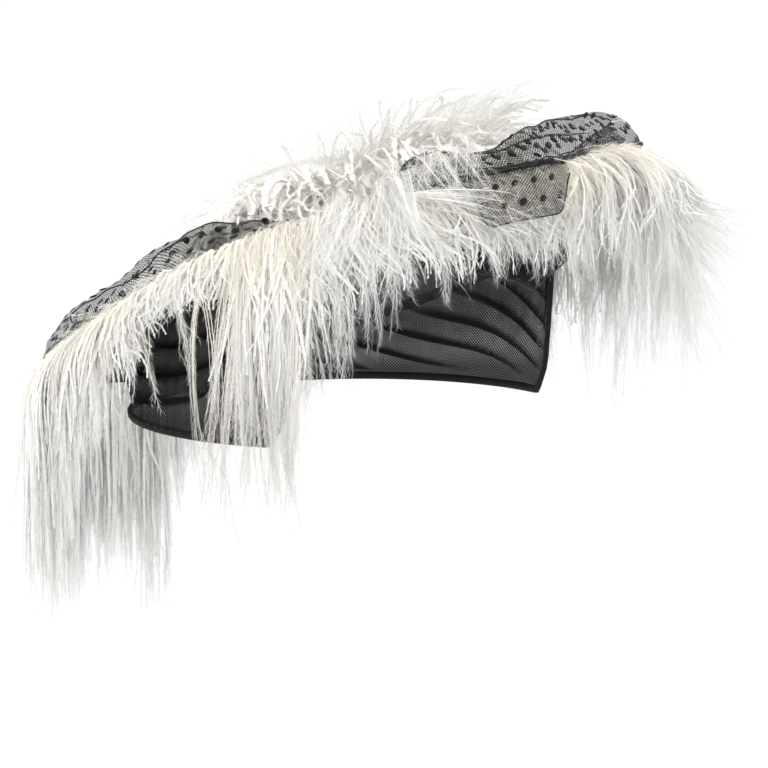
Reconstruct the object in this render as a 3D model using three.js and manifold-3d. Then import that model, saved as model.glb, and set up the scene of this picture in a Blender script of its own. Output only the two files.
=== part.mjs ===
// Saucer hat: a flat black net saucer worn pitched back, a deep ruched net cap
// wall below it, a dotted net ribbon swagged round its top, ostrich plumes
// falling over the rim all round, and more plumes curled up on the crown.
// Millimetres, +Z up. The face looks along -Y, the wearer's right side is -X.
// The origin is where the top of the head meets the underside of the saucer.
import * as THREE from 'three';
import { mergeVertices } from 'three/addons/utils/BufferGeometryUtils.js';
import Module from 'manifold-3d';

const SAUCER_RADIUS = 200;
const SAUCER_THICKNESS = 3;
const SAUCER_PITCH = 24.2;      // degrees, the back of the saucer lower than the front
const SAUCER_CENTRE_BACK = 66;  // behind the seat, measured level
const SAUCER_PAD_RADIUS = 140;  // clear flat inside the cap wall, where a bandeau or pad is sewn
const RIM_ROLL_RADIUS = 2.5;
const RIM_ROLL_INSET = 6;       // where the flat of the saucer turns up into the roll
const SAUCER_STEPS = 72;

const CAP_HALF_WIDTH = 151;
const CAP_HALF_LENGTH = 154;
const CAP_WALL = 2.4;
const CAP_ROWS = 6;
const CAP_STEP = 5;             // degrees between wall columns
const CAP_STEP_AT_TEMPLE = 1.5;
const TEMPLE = { from: 55, to: 74 };
const RUCHE_DEPTH = 2.2;
const RUCHE_PITCH = 34;
const RUCHE_WANDER = 6;
const RUCHE_SLANT = 17;         // degrees, the folds climb towards the face
const BINDING_RADIUS = 3;
const BINDING_SIDES = 6;

const PLUME_COUNT = 14;
const PLUME_STATIONS = 4;
const PLUME_ROOT_RADIUS = 152;
const PLUME_ROOT_LIFT = 9;
const PLUME_GAP_ANGLE = 0.09;   // degrees left open at each side of a plume

const CROWN_PLUME_COUNT = 4;
const CROWN_STATIONS = 7;
const CROWN_GAP_ANGLE = 0.15;

const RIBBON_WALL = 1.1;
const RIBBON_STRIPS = 5;
const RIBBON_STEP = 4.5;        // degrees between ribbon sections
const RIBBON_LEAST_STEPS = 3;
const RIBBON_GAP_ANGLE = 0.06;

const GAP = 0.35;

// Lower edge of the cap wall: angle from the face, height of the hem's underside.
// It is cut away over the forehead to a shallow point and drops behind the temples.
const CAP_EDGE = [
  { angle: 0, height: -24 },
  { angle: 6, height: -17 },
  { angle: 13, height: -12 },
  { angle: 20, height: -8.5 },
  { angle: 28, height: -5 },
  { angle: 37, height: -2.5 },
  { angle: 50, height: -3.5 },
  { angle: 59, height: -6 },
  { angle: 62.5, height: -24 },
  { angle: 66, height: -98 },
  { angle: 70, height: -118 },
  { angle: 180, height: -121 },
];

// Plumes over the rim. Angle from the face (the wearer's right is negative),
// crest height over the rim, how far out they hang, how far down, and how thick.
const RIM_FRINGE = [
  { angle: -180, crest: 10, reach: 32, hang: 150, body: 22 },
  { angle: -150, crest: 8, reach: 34, hang: 178, body: 24 },
  { angle: -122, crest: 8, reach: 32, hang: 164, body: 24 },
  { angle: -103, crest: 10, reach: 25, hang: 128, body: 18 },
  { angle: -88, crest: 15, reach: 17, hang: 74, body: 11 },
  { angle: -74, crest: 18, reach: 18, hang: 118, body: 12 },
  { angle: -60, crest: 17, reach: 18, hang: 136, body: 12 },
  { angle: -50, crest: 12, reach: 14, hang: 96, body: 9 },
  { angle: -30, crest: 10, reach: 10, hang: 62, body: 6 },
  { angle: -20, crest: 8, reach: 8, hang: 48, body: 4 },
  { angle: 0, crest: 8, reach: 8, hang: 54, body: 4 },
  { angle: 10, crest: 16, reach: 32, hang: 96, body: 16 },
  { angle: 22, crest: 19, reach: 62, hang: 146, body: 34 },
  { angle: 42, crest: 20, reach: 78, hang: 166, body: 38 },
  { angle: 62, crest: 19, reach: 58, hang: 158, body: 30 },
  { angle: 78, crest: 17, reach: 44, hang: 144, body: 25 },
  { angle: 92, crest: 16, reach: 36, hang: 100, body: 22 },
  { angle: 106, crest: 15, reach: 32, hang: 72, body: 20 },
  { angle: 130, crest: 13, reach: 30, hang: 62, body: 19 },
  { angle: 158, crest: 12, reach: 30, hang: 64, body: 19 },
  { angle: 170, crest: 11, reach: 32, hang: 96, body: 21 },
  { angle: 180, crest: 10, reach: 32, hang: 150, body: 22 },
];

// The ribbon round the top of the saucer. Low and high selvedge, each with its
// radius and its height over the saucer's underside, and how far it puffs out.
const RIBBON = [
  { angle: -322, lowRadius: 218, low: 27, highRadius: 205, high: 48, puff: 5 },
  { angle: -300, lowRadius: 202, low: 19, highRadius: 164, high: 44, puff: 6 },
  { angle: -270, lowRadius: 194, low: 15, highRadius: 156, high: 36, puff: 5 },
  { angle: -240, lowRadius: 194, low: 15, highRadius: 154, high: 46, puff: 7 },
  { angle: -210, lowRadius: 192, low: 14, highRadius: 156, high: 36, puff: 5 },
  { angle: -180, lowRadius: 194, low: 14, highRadius: 158, high: 44, puff: 7 },
  { angle: -152, lowRadius: 202, low: 14, highRadius: 172, high: 38, puff: 6 },
  { angle: -138, lowRadius: 208, low: 13, highRadius: 190, high: 31, puff: 4 },
  { angle: -128, lowRadius: 204, low: 12, highRadius: 186, high: 31, puff: 4 },
  { angle: -119, lowRadius: 199, low: 12, highRadius: 178, high: 32, puff: 4 },
  { angle: -108, lowRadius: 195, low: 14, highRadius: 168, high: 32, puff: 4 },
  { angle: -97, lowRadius: 193, low: 15, highRadius: 160, high: 39, puff: 5 },
  { angle: -87, lowRadius: 192, low: 15, highRadius: 155, high: 46, puff: 6 },
  { angle: -77, lowRadius: 191, low: 14, highRadius: 153, high: 42, puff: 6 },
  { angle: -67, lowRadius: 190, low: 12.5, highRadius: 153, high: 34, puff: 4 },
  { angle: -60, lowRadius: 188, low: 12, highRadius: 154, high: 28, puff: 3 },
  { angle: -53, lowRadius: 186, low: 10.5, highRadius: 158, high: 18, puff: 1 },
  { angle: -49, lowRadius: 185, low: 9.4, highRadius: 164, high: 12.5, puff: 0.6 },
  { angle: -31, lowRadius: 185, low: 9.4, highRadius: 166, high: 12.5, puff: 0.6 },
  { angle: -27, lowRadius: 189, low: 12, highRadius: 172, high: 30, puff: 5 },
  { angle: -22, lowRadius: 193, low: 12, highRadius: 174, high: 33, puff: 5 },
  { angle: -16, lowRadius: 198, low: 12.5, highRadius: 182, high: 27, puff: 2 },
  { angle: -7, lowRadius: 200, low: 12, highRadius: 178, high: 36, puff: 6 },
  { angle: 5, lowRadius: 200, low: 13.5, highRadius: 174, high: 44, puff: 7 },
  { angle: 18, lowRadius: 204, low: 18, highRadius: 176, high: 51, puff: 8 },
  { angle: 28, lowRadius: 211, low: 23, highRadius: 188, high: 53, puff: 7 },
  { angle: 38, lowRadius: 218, low: 27, highRadius: 205, high: 48, puff: 5 },
];

// Where the ribbon is caught down and one stretch of it ends and the next begins.
const RIBBON_STRETCHES = [
  { name: 'ribbon_far_swag', from: -322, to: -152 },
  { name: 'ribbon_back_swag', from: -152, to: -49 },
  { name: 'ribbon_gather', from: -49, to: -31 },
  { name: 'ribbon_small_loop', from: -31, to: -16 },
  { name: 'ribbon_front_swag', from: -16, to: 38 },
];

// The short loop that lies over the front of the rim, out from the rim and up from it.
const RIBBON_TAB_ANGLES = { from: -21, to: -3, steps: 5 };
const RIBBON_TAB = [
  { out: -3.6, up: 10 },
  { out: 3, up: 10.6 },
  { out: 7.6, up: 6.5 },
  { out: 9.8, up: -4 },
  { out: 10, up: -20 },
];

// The loose tuft laid over the gathered stretch of ribbon and out over the rim.
const TUFT_ANGLES = { from: -50, to: -32, steps: 5 };
const TUFT_ROOT_RADIUS = 148;
const TUFT_FLOOR = 15.2;
const TUFT_CREST = 25;
const TUFT_REACH = 36;
const TUFT_HANG = 74;

// How far the crown plumes spread and rise towards each side, about their own middle.
const CROWN_MIDDLE = { right: 8, front: 12 };
const CROWN_SPREAD = [
  { angle: -180, spread: 0.95, rise: 0.96 },
  { angle: -90, spread: 0.93, rise: 0.92 },
  { angle: 0, spread: 1, rise: 1.05 },
  { angle: 40, spread: 1.1, rise: 1.12 },
  { angle: 90, spread: 1.02, rise: 1 },
  { angle: 180, spread: 0.95, rise: 0.96 },
];

// Section of the crown mound: radius from its middle, height over the saucer.
const CROWN_SECTION = [
  { radius: 6, height: 3.4 },
  { radius: 98, height: 3.4 },
  { radius: 122, height: 16 },
  { radius: 130, height: 42 },
  { radius: 118, height: 68 },
  { radius: 88, height: 84 },
  { radius: 46, height: 82 },
  { radius: 6, height: 66 },
];

const COLOURS = {
  net: { color: 0x161517, roughness: 0.85, metalness: 0 },
  binding: { color: 0x0c0c0d, roughness: 0.6, metalness: 0 },
  ribbon: { color: 0x2a292b, roughness: 0.55, metalness: 0 },
  plume: { color: 0xf0ece2, roughness: 0.9, metalness: 0 },
  crown: { color: 0xe9e4d6, roughness: 0.9, metalness: 0 },
};

const pitch = THREE.MathUtils.degToRad(SAUCER_PITCH);
const saucerCentre = new THREE.Vector3(0, SAUCER_CENTRE_BACK, -Math.tan(pitch) * SAUCER_CENTRE_BACK);
const saucerTop = SAUCER_THICKNESS / Math.cos(pitch);

const wasm = await Module();
wasm.setup();

// Reads every column of a table at an angle, with a smooth curve that never
// swings past the rows on either side of it.
function readTable(table, angle) {
  const last = table.length - 1;
  const at = THREE.MathUtils.clamp(angle, table[0].angle, table[last].angle);
  let low = 0;
  while (low < last - 1 && table[low + 1].angle <= at) {
    low += 1;
  }
  const span = table[low + 1].angle - table[low].angle;
  const t = (at - table[low].angle) / span;
  const row = {};
  for (const column of Object.keys(table[0])) {
    const slope = (i) => {
      if (i === 0 || i === last) {
        return 0;
      }
      const before = (table[i][column] - table[i - 1][column]) / (table[i].angle - table[i - 1].angle);
      const after = (table[i + 1][column] - table[i][column]) / (table[i + 1].angle - table[i].angle);
      return before * after <= 0 ? 0 : (2 * before * after) / (before + after);
    };
    const ease = t * t * (3 - 2 * t);
    const leave = t * (1 - t) * (1 - t) * span * slope(low);
    const arrive = t * t * (1 - t) * span * slope(low + 1);
    row[column] = THREE.MathUtils.lerp(table[low][column], table[low + 1][column], ease) + leave - arrive;
  }
  return row;
}

// Turns a geometry's faces outwards if they point in.
function facingOut(geometry) {
  const position = geometry.attributes.position;
  const index = Array.from(geometry.index.array);
  const corners = [new THREE.Vector3(), new THREE.Vector3(), new THREE.Vector3()];
  let volume = 0;
  for (let i = 0; i < index.length; i += 3) {
    corners.forEach((corner, k) => corner.fromBufferAttribute(position, index[i + k]));
    volume += corners[0].dot(corners[1].cross(corners[2]));
  }
  if (volume < 0) {
    for (let i = 0; i < index.length; i += 3) {
      [index[i + 1], index[i + 2]] = [index[i + 2], index[i + 1]];
    }
    geometry.setIndex(index);
  }
  geometry.computeVertexNormals();
  return geometry;
}

// Skins a row of matching sections into one closed body. A section is a ring of
// points; flat holds the same ring drawn flat, from which the two ends are closed.
function skin(sections, { joined = false, flat = null } = {}) {
  const around = sections[0].length;
  const positions = sections.flat().flatMap((p) => [p.x, p.y, p.z]);
  const index = [];
  const spans = joined ? sections.length : sections.length - 1;
  for (let s = 0; s < spans; s += 1) {
    const here = s * around;
    const next = ((s + 1) % sections.length) * around;
    for (let k = 0; k < around; k += 1) {
      const k2 = (k + 1) % around;
      index.push(here + k, here + k2, next + k2);
      index.push(here + k, next + k2, next + k);
    }
  }
  if (!joined) {
    const lid = THREE.ShapeUtils.triangulateShape(flat, []);
    const clockwise = THREE.ShapeUtils.isClockWise(flat);
    const far = (sections.length - 1) * around;
    for (const [a, b, c] of lid) {
      index.push(...(clockwise ? [a, b, c] : [a, c, b]));
      index.push(...(clockwise ? [far + a, far + c, far + b] : [far + a, far + b, far + c]));
    }
  }
  const geometry = new THREE.BufferGeometry();
  geometry.setAttribute('position', new THREE.Float32BufferAttribute(positions, 3));
  geometry.setIndex(index);
  return facingOut(geometry);
}

function toSolid(geometry) {
  const bare = geometry.clone();
  bare.deleteAttribute('normal');
  bare.deleteAttribute('uv');
  const merged = mergeVertices(bare, 1e-4);
  return new wasm.Manifold(new wasm.Mesh({
    numProp: 3,
    vertProperties: new Float32Array(merged.attributes.position.array),
    triVerts: new Uint32Array(merged.index.array),
  }));
}

function toGeometry(solid) {
  const mesh = solid.getMesh();
  const geometry = new THREE.BufferGeometry();
  geometry.setAttribute('position', new THREE.Float32BufferAttribute(mesh.vertProperties, 3));
  geometry.setIndex(Array.from(mesh.triVerts));
  geometry.computeVertexNormals();
  return geometry;
}

// A point of the saucer's own frame: angle from the face, radius, height over it.
function onSaucer(angle, radius, height) {
  const turn = THREE.MathUtils.degToRad(angle);
  const point = new THREE.Vector3(Math.sin(turn) * radius, -Math.cos(turn) * radius, height);
  return point.applyAxisAngle(new THREE.Vector3(1, 0, 0), -pitch).add(saucerCentre);
}

// A point near the rim: out from it on the level, and up from it. Points inside
// the rim are given by a radius, and keep to the slope of the saucer.
function atRim(angle, { radius = SAUCER_RADIUS, out = 0, up = 0 }) {
  const point = onSaucer(angle, radius, 0);
  const outward = point.clone().sub(saucerCentre).setZ(0).normalize();
  return point.addScaledVector(outward, out).add(new THREE.Vector3(0, 0, up));
}

// The same point in the flat drawing that an end is closed from.
function rimDrawing({ radius = SAUCER_RADIUS, out = 0, up = 0 }) {
  return new THREE.Vector2(radius - SAUCER_RADIUS + out, up);
}

function saucerPlate() {
  const middle = SAUCER_THICKNESS / 2;
  const flatRadius = SAUCER_RADIUS - RIM_ROLL_INSET;
  const profile = [
    new THREE.Vector2(0, 0),
    new THREE.Vector2(SAUCER_PAD_RADIUS, 0),
    new THREE.Vector2(flatRadius, 0),
  ];
  for (const turn of [-130, -90, -45, 0, 45, 90, 130]) {
    const a = THREE.MathUtils.degToRad(turn);
    profile.push(new THREE.Vector2(
      SAUCER_RADIUS + RIM_ROLL_RADIUS * Math.cos(a),
      middle + RIM_ROLL_RADIUS * Math.sin(a),
    ));
  }
  profile.push(new THREE.Vector2(flatRadius, SAUCER_THICKNESS), new THREE.Vector2(0, SAUCER_THICKNESS));
  const geometry = new THREE.LatheGeometry(profile, SAUCER_STEPS);
  geometry.rotateX(Math.PI / 2);
  return geometry;
}

function capEdge(angle) {
  return readTable(CAP_EDGE, Math.abs(angle)).height;
}

// A point of the cap wall's oval, pushed out from it by a distance.
function onCap(angle, push, height) {
  const turn = THREE.MathUtils.degToRad(angle);
  const x = (CAP_HALF_WIDTH + push) * Math.sin(turn);
  const y = SAUCER_CENTRE_BACK - (CAP_HALF_LENGTH + push) * Math.cos(turn);
  return new THREE.Vector3(x, y, height);
}

// Columns of the wall, closer together where its edge drops behind the temples.
function capColumns() {
  const columns = [];
  let angle = -180;
  while (angle < 180) {
    columns.push(angle);
    const side = Math.abs(angle);
    angle += side > TEMPLE.from && side < TEMPLE.to ? CAP_STEP_AT_TEMPLE : CAP_STEP;
  }
  return columns;
}

// Height of the soft gathers of the wall at a place on it.
function ruche(angle, height) {
  const slant = THREE.MathUtils.degToRad(RUCHE_SLANT);
  const along = THREE.MathUtils.degToRad(angle) * CAP_HALF_WIDTH;
  const climb = height * Math.cos(slant) - along * Math.sin(slant);
  const wander = RUCHE_WANDER * Math.sin(THREE.MathUtils.degToRad(angle * 3));
  return RUCHE_DEPTH * Math.sin(2 * Math.PI * (climb + wander) / RUCHE_PITCH);
}

function capBinding(radius) {
  const columns = capColumns();
  const sections = columns.map((angle) => {
    const here = onCap(angle, 0, capEdge(angle) + BINDING_RADIUS);
    const ahead = onCap(angle + 0.5, 0, capEdge(angle + 0.5) + BINDING_RADIUS);
    const behind = onCap(angle - 0.5, 0, capEdge(angle - 0.5) + BINDING_RADIUS);
    const along = ahead.sub(behind).normalize();
    const outward = onCap(angle, 1, 0).sub(onCap(angle, 0, 0)).normalize();
    const across = new THREE.Vector3().crossVectors(along, outward).normalize();
    outward.crossVectors(across, along);
    return Array.from({ length: BINDING_SIDES }, (_, k) => {
      const turn = (2 * Math.PI * k) / BINDING_SIDES;
      return here.clone()
        .addScaledVector(outward, radius * Math.cos(turn))
        .addScaledVector(across, radius * Math.sin(turn));
    });
  });
  return skin(sections, { joined: true });
}

// The wall hangs from the saucer's underside to the middle of its binding, and
// is then cut back to clear the binding.
function capWall() {
  const sections = capColumns().map((angle) => {
    const low = capEdge(angle) + BINDING_RADIUS;
    const faces = [CAP_WALL / 2, -CAP_WALL / 2].map((push) => {
      const plan = onCap(angle, push, 0);
      const high = -Math.tan(pitch) * plan.y - GAP / Math.cos(pitch);
      return Array.from({ length: CAP_ROWS + 1 }, (_, k) => {
        const t = k / CAP_ROWS;
        const height = THREE.MathUtils.lerp(low, high, t);
        const free = Math.sin(Math.PI * t);
        return onCap(angle, push + ruche(angle, height) * free, height);
      });
    });
    return [...faces[0], ...faces[1].reverse()];
  });
  const wall = toSolid(skin(sections, { joined: true }));
  return toGeometry(wall.subtract(toSolid(capBinding(BINDING_RADIUS + GAP))));
}

// Section of the plumes over the rim at an angle, from their roots on the
// saucer over the rolled edge and down to their tips.
function fringeSection(angle) {
  const { crest, reach, hang, body } = readTable(RIM_FRINGE, angle);
  const seat = saucerTop + GAP;
  const rollTop = seat + RIM_ROLL_RADIUS;
  const rollOut = RIM_ROLL_RADIUS + SAUCER_THICKNESS * Math.sin(pitch) / 2 + 2 * GAP;
  return [
    { radius: PLUME_ROOT_RADIUS, up: seat },
    { radius: SAUCER_RADIUS - 7, up: seat },
    { radius: SAUCER_RADIUS - 3, up: rollTop },
    { out: rollOut - GAP, up: Math.min(rollTop, crest - 2) },
    { out: rollOut, up: -6 },
    { out: Math.max(rollOut, reach - body), up: -0.35 * hang },
    { out: Math.max(rollOut, reach - 0.7 * body), up: 8 - hang },
    { out: Math.max(rollOut + 2, reach - 0.35 * body), up: -hang },
    { out: Math.max(rollOut + 3, reach - 1), up: 14 - hang },
    { out: reach + 1, up: -0.55 * hang },
    { out: reach, up: -0.2 * hang },
    { out: 0.75 * reach, up: 0.5 * crest },
    { out: 0.2 * reach, up: crest },
    { radius: SAUCER_RADIUS - 16, up: PLUME_ROOT_LIFT },
    { radius: PLUME_ROOT_RADIUS, up: PLUME_ROOT_LIFT - 1 },
  ];
}

function rimPlume(from, to) {
  const sections = [];
  for (let k = 0; k <= PLUME_STATIONS; k += 1) {
    const angle = THREE.MathUtils.lerp(from + PLUME_GAP_ANGLE, to - PLUME_GAP_ANGLE, k / PLUME_STATIONS);
    sections.push(fringeSection(angle).map((place) => atRim(angle, place)));
  }
  return skin(sections, { flat: fringeSection(from).map(rimDrawing) });
}

// The tuft clears the fringe below it by the gap, and the gathered ribbon too.
function tuftSection(angle) {
  const under = fringeSection(angle);
  const middle = (TUFT_ANGLES.from + TUFT_ANGLES.to) / 2;
  const half = (TUFT_ANGLES.to - TUFT_ANGLES.from) / 2;
  const full = Math.cos(0.4 * Math.PI * (angle - middle) / half);
  const fringeOut = Math.max(...under.map((place) => place.out ?? 0)) + 1.5;
  const reach = THREE.MathUtils.lerp(fringeOut + 6, TUFT_REACH, full);
  const hang = THREE.MathUtils.lerp(30, TUFT_HANG, full);
  const crest = THREE.MathUtils.lerp(TUFT_FLOOR + 4, TUFT_CREST, full);
  return [
    { radius: TUFT_ROOT_RADIUS, up: TUFT_FLOOR },
    { radius: SAUCER_RADIUS - 6, up: TUFT_FLOOR },
    { out: 4, up: TUFT_FLOOR - 2 },
    { out: fringeOut, up: 8 },
    { out: fringeOut, up: 8 - hang },
    { out: 0.6 * fringeOut + 0.4 * reach, up: -hang },
    { out: reach, up: -0.45 * hang },
    { out: reach, up: 0 },
    { out: 0.62 * reach, up: 0.72 * crest },
    { out: 0, up: crest },
    { radius: SAUCER_RADIUS - 26, up: crest + 2 },
    { radius: TUFT_ROOT_RADIUS, up: TUFT_FLOOR + 5 },
  ];
}

function frontTuft() {
  const { from, to, steps } = TUFT_ANGLES;
  const sections = [];
  for (let k = 0; k <= steps; k += 1) {
    const angle = THREE.MathUtils.lerp(from, to, k / steps);
    sections.push(tuftSection(angle).map((place) => atRim(angle, place)));
  }
  return skin(sections, { flat: tuftSection(from).map(rimDrawing) });
}

// Gives a line across a strip its thickness: out along one face, back along the other.
function thicken(line, wall) {
  const offset = (side) => line.map((here, k) => {
    const before = line[Math.max(k - 1, 0)];
    const after = line[Math.min(k + 1, line.length - 1)];
    const along = after.clone().sub(before).normalize();
    return new THREE.Vector2(here.x - along.y * side, here.y + along.x * side);
  });
  return [...offset(wall / 2), ...offset(-wall / 2).reverse()];
}

// The ribbon across its width at an angle: radius against height.
function ribbonSection(angle) {
  const { lowRadius, low, highRadius, high, puff } = readTable(RIBBON, angle);
  const start = new THREE.Vector2(lowRadius, low);
  const end = new THREE.Vector2(highRadius, high);
  const across = end.clone().sub(start).normalize();
  const outward = new THREE.Vector2(across.y, -across.x);
  const line = Array.from({ length: RIBBON_STRIPS + 1 }, (_, k) => {
    const t = k / RIBBON_STRIPS;
    return start.clone().lerp(end, t).addScaledVector(outward, puff * Math.sin(Math.PI * t));
  });
  return thicken(line, RIBBON_WALL);
}

function ribbonStretch(from, to) {
  const steps = Math.max(RIBBON_LEAST_STEPS, Math.round((to - from) / RIBBON_STEP));
  const sections = [];
  for (let k = 0; k <= steps; k += 1) {
    const angle = THREE.MathUtils.lerp(from + RIBBON_GAP_ANGLE, to - RIBBON_GAP_ANGLE, k / steps);
    sections.push(ribbonSection(angle).map((p) => onSaucer(angle, p.x, p.y)));
  }
  return skin(sections, { flat: ribbonSection(from) });
}

function ribbonTab() {
  const line = RIBBON_TAB.map(({ out, up }) => new THREE.Vector2(out, up));
  const ring = thicken(line, RIBBON_WALL);
  const { from, to, steps } = RIBBON_TAB_ANGLES;
  const sections = [];
  for (let k = 0; k <= steps; k += 1) {
    const angle = THREE.MathUtils.lerp(from, to, k / steps);
    sections.push(ring.map((p) => atRim(angle, { out: p.x, up: p.y })));
  }
  return skin(sections, { flat: ring });
}

function crownPlume(from, to) {
  const foot = CROWN_SECTION[0].height;
  const middle = new THREE.Vector3(CROWN_MIDDLE.right, -CROWN_MIDDLE.front * Math.cos(pitch), 0);
  middle.z = CROWN_MIDDLE.front * Math.sin(pitch);
  const sections = [];
  for (let k = 0; k <= CROWN_STATIONS; k += 1) {
    const angle = THREE.MathUtils.lerp(from + CROWN_GAP_ANGLE, to - CROWN_GAP_ANGLE, k / CROWN_STATIONS);
    const { spread, rise } = readTable(CROWN_SPREAD, angle);
    sections.push(CROWN_SECTION.map(({ radius, height }) => (
      onSaucer(angle, radius * spread, foot + (height - foot) * rise).add(middle)
    )));
  }
  const flat = CROWN_SECTION.map(({ radius, height }) => new THREE.Vector2(radius, height));
  return skin(sections, { flat });
}

const hat = new THREE.Group();

function add(name, geometry, finish) {
  const mesh = new THREE.Mesh(geometry, new THREE.MeshStandardMaterial(COLOURS[finish]));
  mesh.name = name;
  hat.add(mesh);
  return mesh;
}

const plate = add('saucer_plate', saucerPlate(), 'net');
plate.rotation.x = -pitch;
plate.position.copy(saucerCentre);

add('cap_wall', capWall(), 'net');
add('cap_binding', capBinding(BINDING_RADIUS), 'binding');

for (const { name, from, to } of RIBBON_STRETCHES) {
  add(name, ribbonStretch(from, to), 'ribbon');
}
add('ribbon_tab', ribbonTab(), 'ribbon');

const plumeAngle = 360 / PLUME_COUNT;
for (let k = 0; k < PLUME_COUNT; k += 1) {
  const from = k * plumeAngle - 180;
  add(`rim_plume_${String(k + 1).padStart(2, '0')}`, rimPlume(from, from + plumeAngle), 'plume');
}
add('front_tuft', frontTuft(), 'plume');

const crownAngle = 360 / CROWN_PLUME_COUNT;
for (let k = 0; k < CROWN_PLUME_COUNT; k += 1) {
  const from = k * crownAngle - 180;
  add(`crown_plume_${k + 1}`, crownPlume(from, from + crownAngle), 'crown');
}

export default hat;
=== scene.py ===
"""Looks of the saucer hat: ruched net cap wall, dotted net ribbon, ostrich plumes.

Sizes in this script are millimetres and degrees, and are turned into metres
when a mesh is made. The face looks along -Y and the wearer's right is -X.
Angles round the hat start at the face and grow towards the wearer's left.
"""
import math

import bmesh
import bpy
import numpy as np
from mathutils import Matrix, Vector


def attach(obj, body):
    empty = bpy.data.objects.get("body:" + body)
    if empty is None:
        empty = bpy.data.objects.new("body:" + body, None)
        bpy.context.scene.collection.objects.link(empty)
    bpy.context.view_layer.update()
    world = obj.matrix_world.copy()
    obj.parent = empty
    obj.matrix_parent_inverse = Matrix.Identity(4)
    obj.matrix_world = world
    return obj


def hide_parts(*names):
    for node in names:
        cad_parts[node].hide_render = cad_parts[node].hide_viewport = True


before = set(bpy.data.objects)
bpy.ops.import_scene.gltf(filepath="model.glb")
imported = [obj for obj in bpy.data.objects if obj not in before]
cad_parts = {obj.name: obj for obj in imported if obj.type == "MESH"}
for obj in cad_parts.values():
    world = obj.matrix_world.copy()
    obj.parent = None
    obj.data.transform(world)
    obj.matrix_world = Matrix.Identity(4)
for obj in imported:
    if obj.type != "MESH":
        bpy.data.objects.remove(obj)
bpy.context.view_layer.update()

MM = 0.001
ROOT = "root"

# The hat's own frame, as the construction has it
SAUCER_RADIUS = 200.0
SAUCER_PITCH = math.radians(24.2)
SAUCER_CENTRE = np.array([0.0, 66.0, -66.0 * math.tan(SAUCER_PITCH)])
ACROSS = np.array([1.0, 0.0, 0.0])
BACKWARD = np.array([0.0, math.cos(SAUCER_PITCH), -math.sin(SAUCER_PITCH)])
ABOVE = np.array([0.0, math.sin(SAUCER_PITCH), math.cos(SAUCER_PITCH)])
UP = np.array([0.0, 0.0, 1.0])

# The cap wall: an oval ring whose net is gathered into tucks that climb round it
CAP_HALF_WIDTH = 151.0
CAP_HALF_LENGTH = 154.0
CAP_COLUMNS = 360
CAP_ROWS = 34
# The middle of the binding over the hem's edge, and the wall's top under the saucer
HEM_LIFT = 3.0
SEAM_DROP = 0.4
# How far apart the tucks lie, how steeply they climb, and how far they stand out and droop
TUCK_PITCH = 18.0
TUCK_SLANT = math.radians(17)
TUCK_PUSH = 1.9
TUCK_LEAN = 3.3
BINDING_COLUMNS = 400
BINDING_HALF_HEIGHT = 2.9
BINDING_HALF_THICKNESS = 1.7
STITCH_RADIUS = 0.32

# The picture's camera, a little above level at the hat's right front
CAMERA_AZIMUTH = -50.0
CAMERA_ELEVATION = 9.0
CAMERA_DISTANCE = 1800.0
CAMERA_TARGET = np.array([-29.37, 12.78, -90.21])
CAMERA_LENS = 126.56
CAMERA_SIGHT = 500000.0
FLOOR_HEIGHT = -700.0
FLOOR_REACH = 140000.0


def table(names, *rows):
    """A small table read by column name."""
    columns = names.split()
    return {name: np.array([row[i] for row in rows], float) for i, name in enumerate(columns)}


# Height of the wall's lower edge either side of the face
CAP_EDGE = table(
    "angle height",
    (0, -24), (6, -17), (13, -12), (20, -8.5), (28, -5), (37, -2.5),
    (50, -3.5), (59, -6), (62.5, -24), (66, -98), (70, -118), (180, -121),
)

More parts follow.
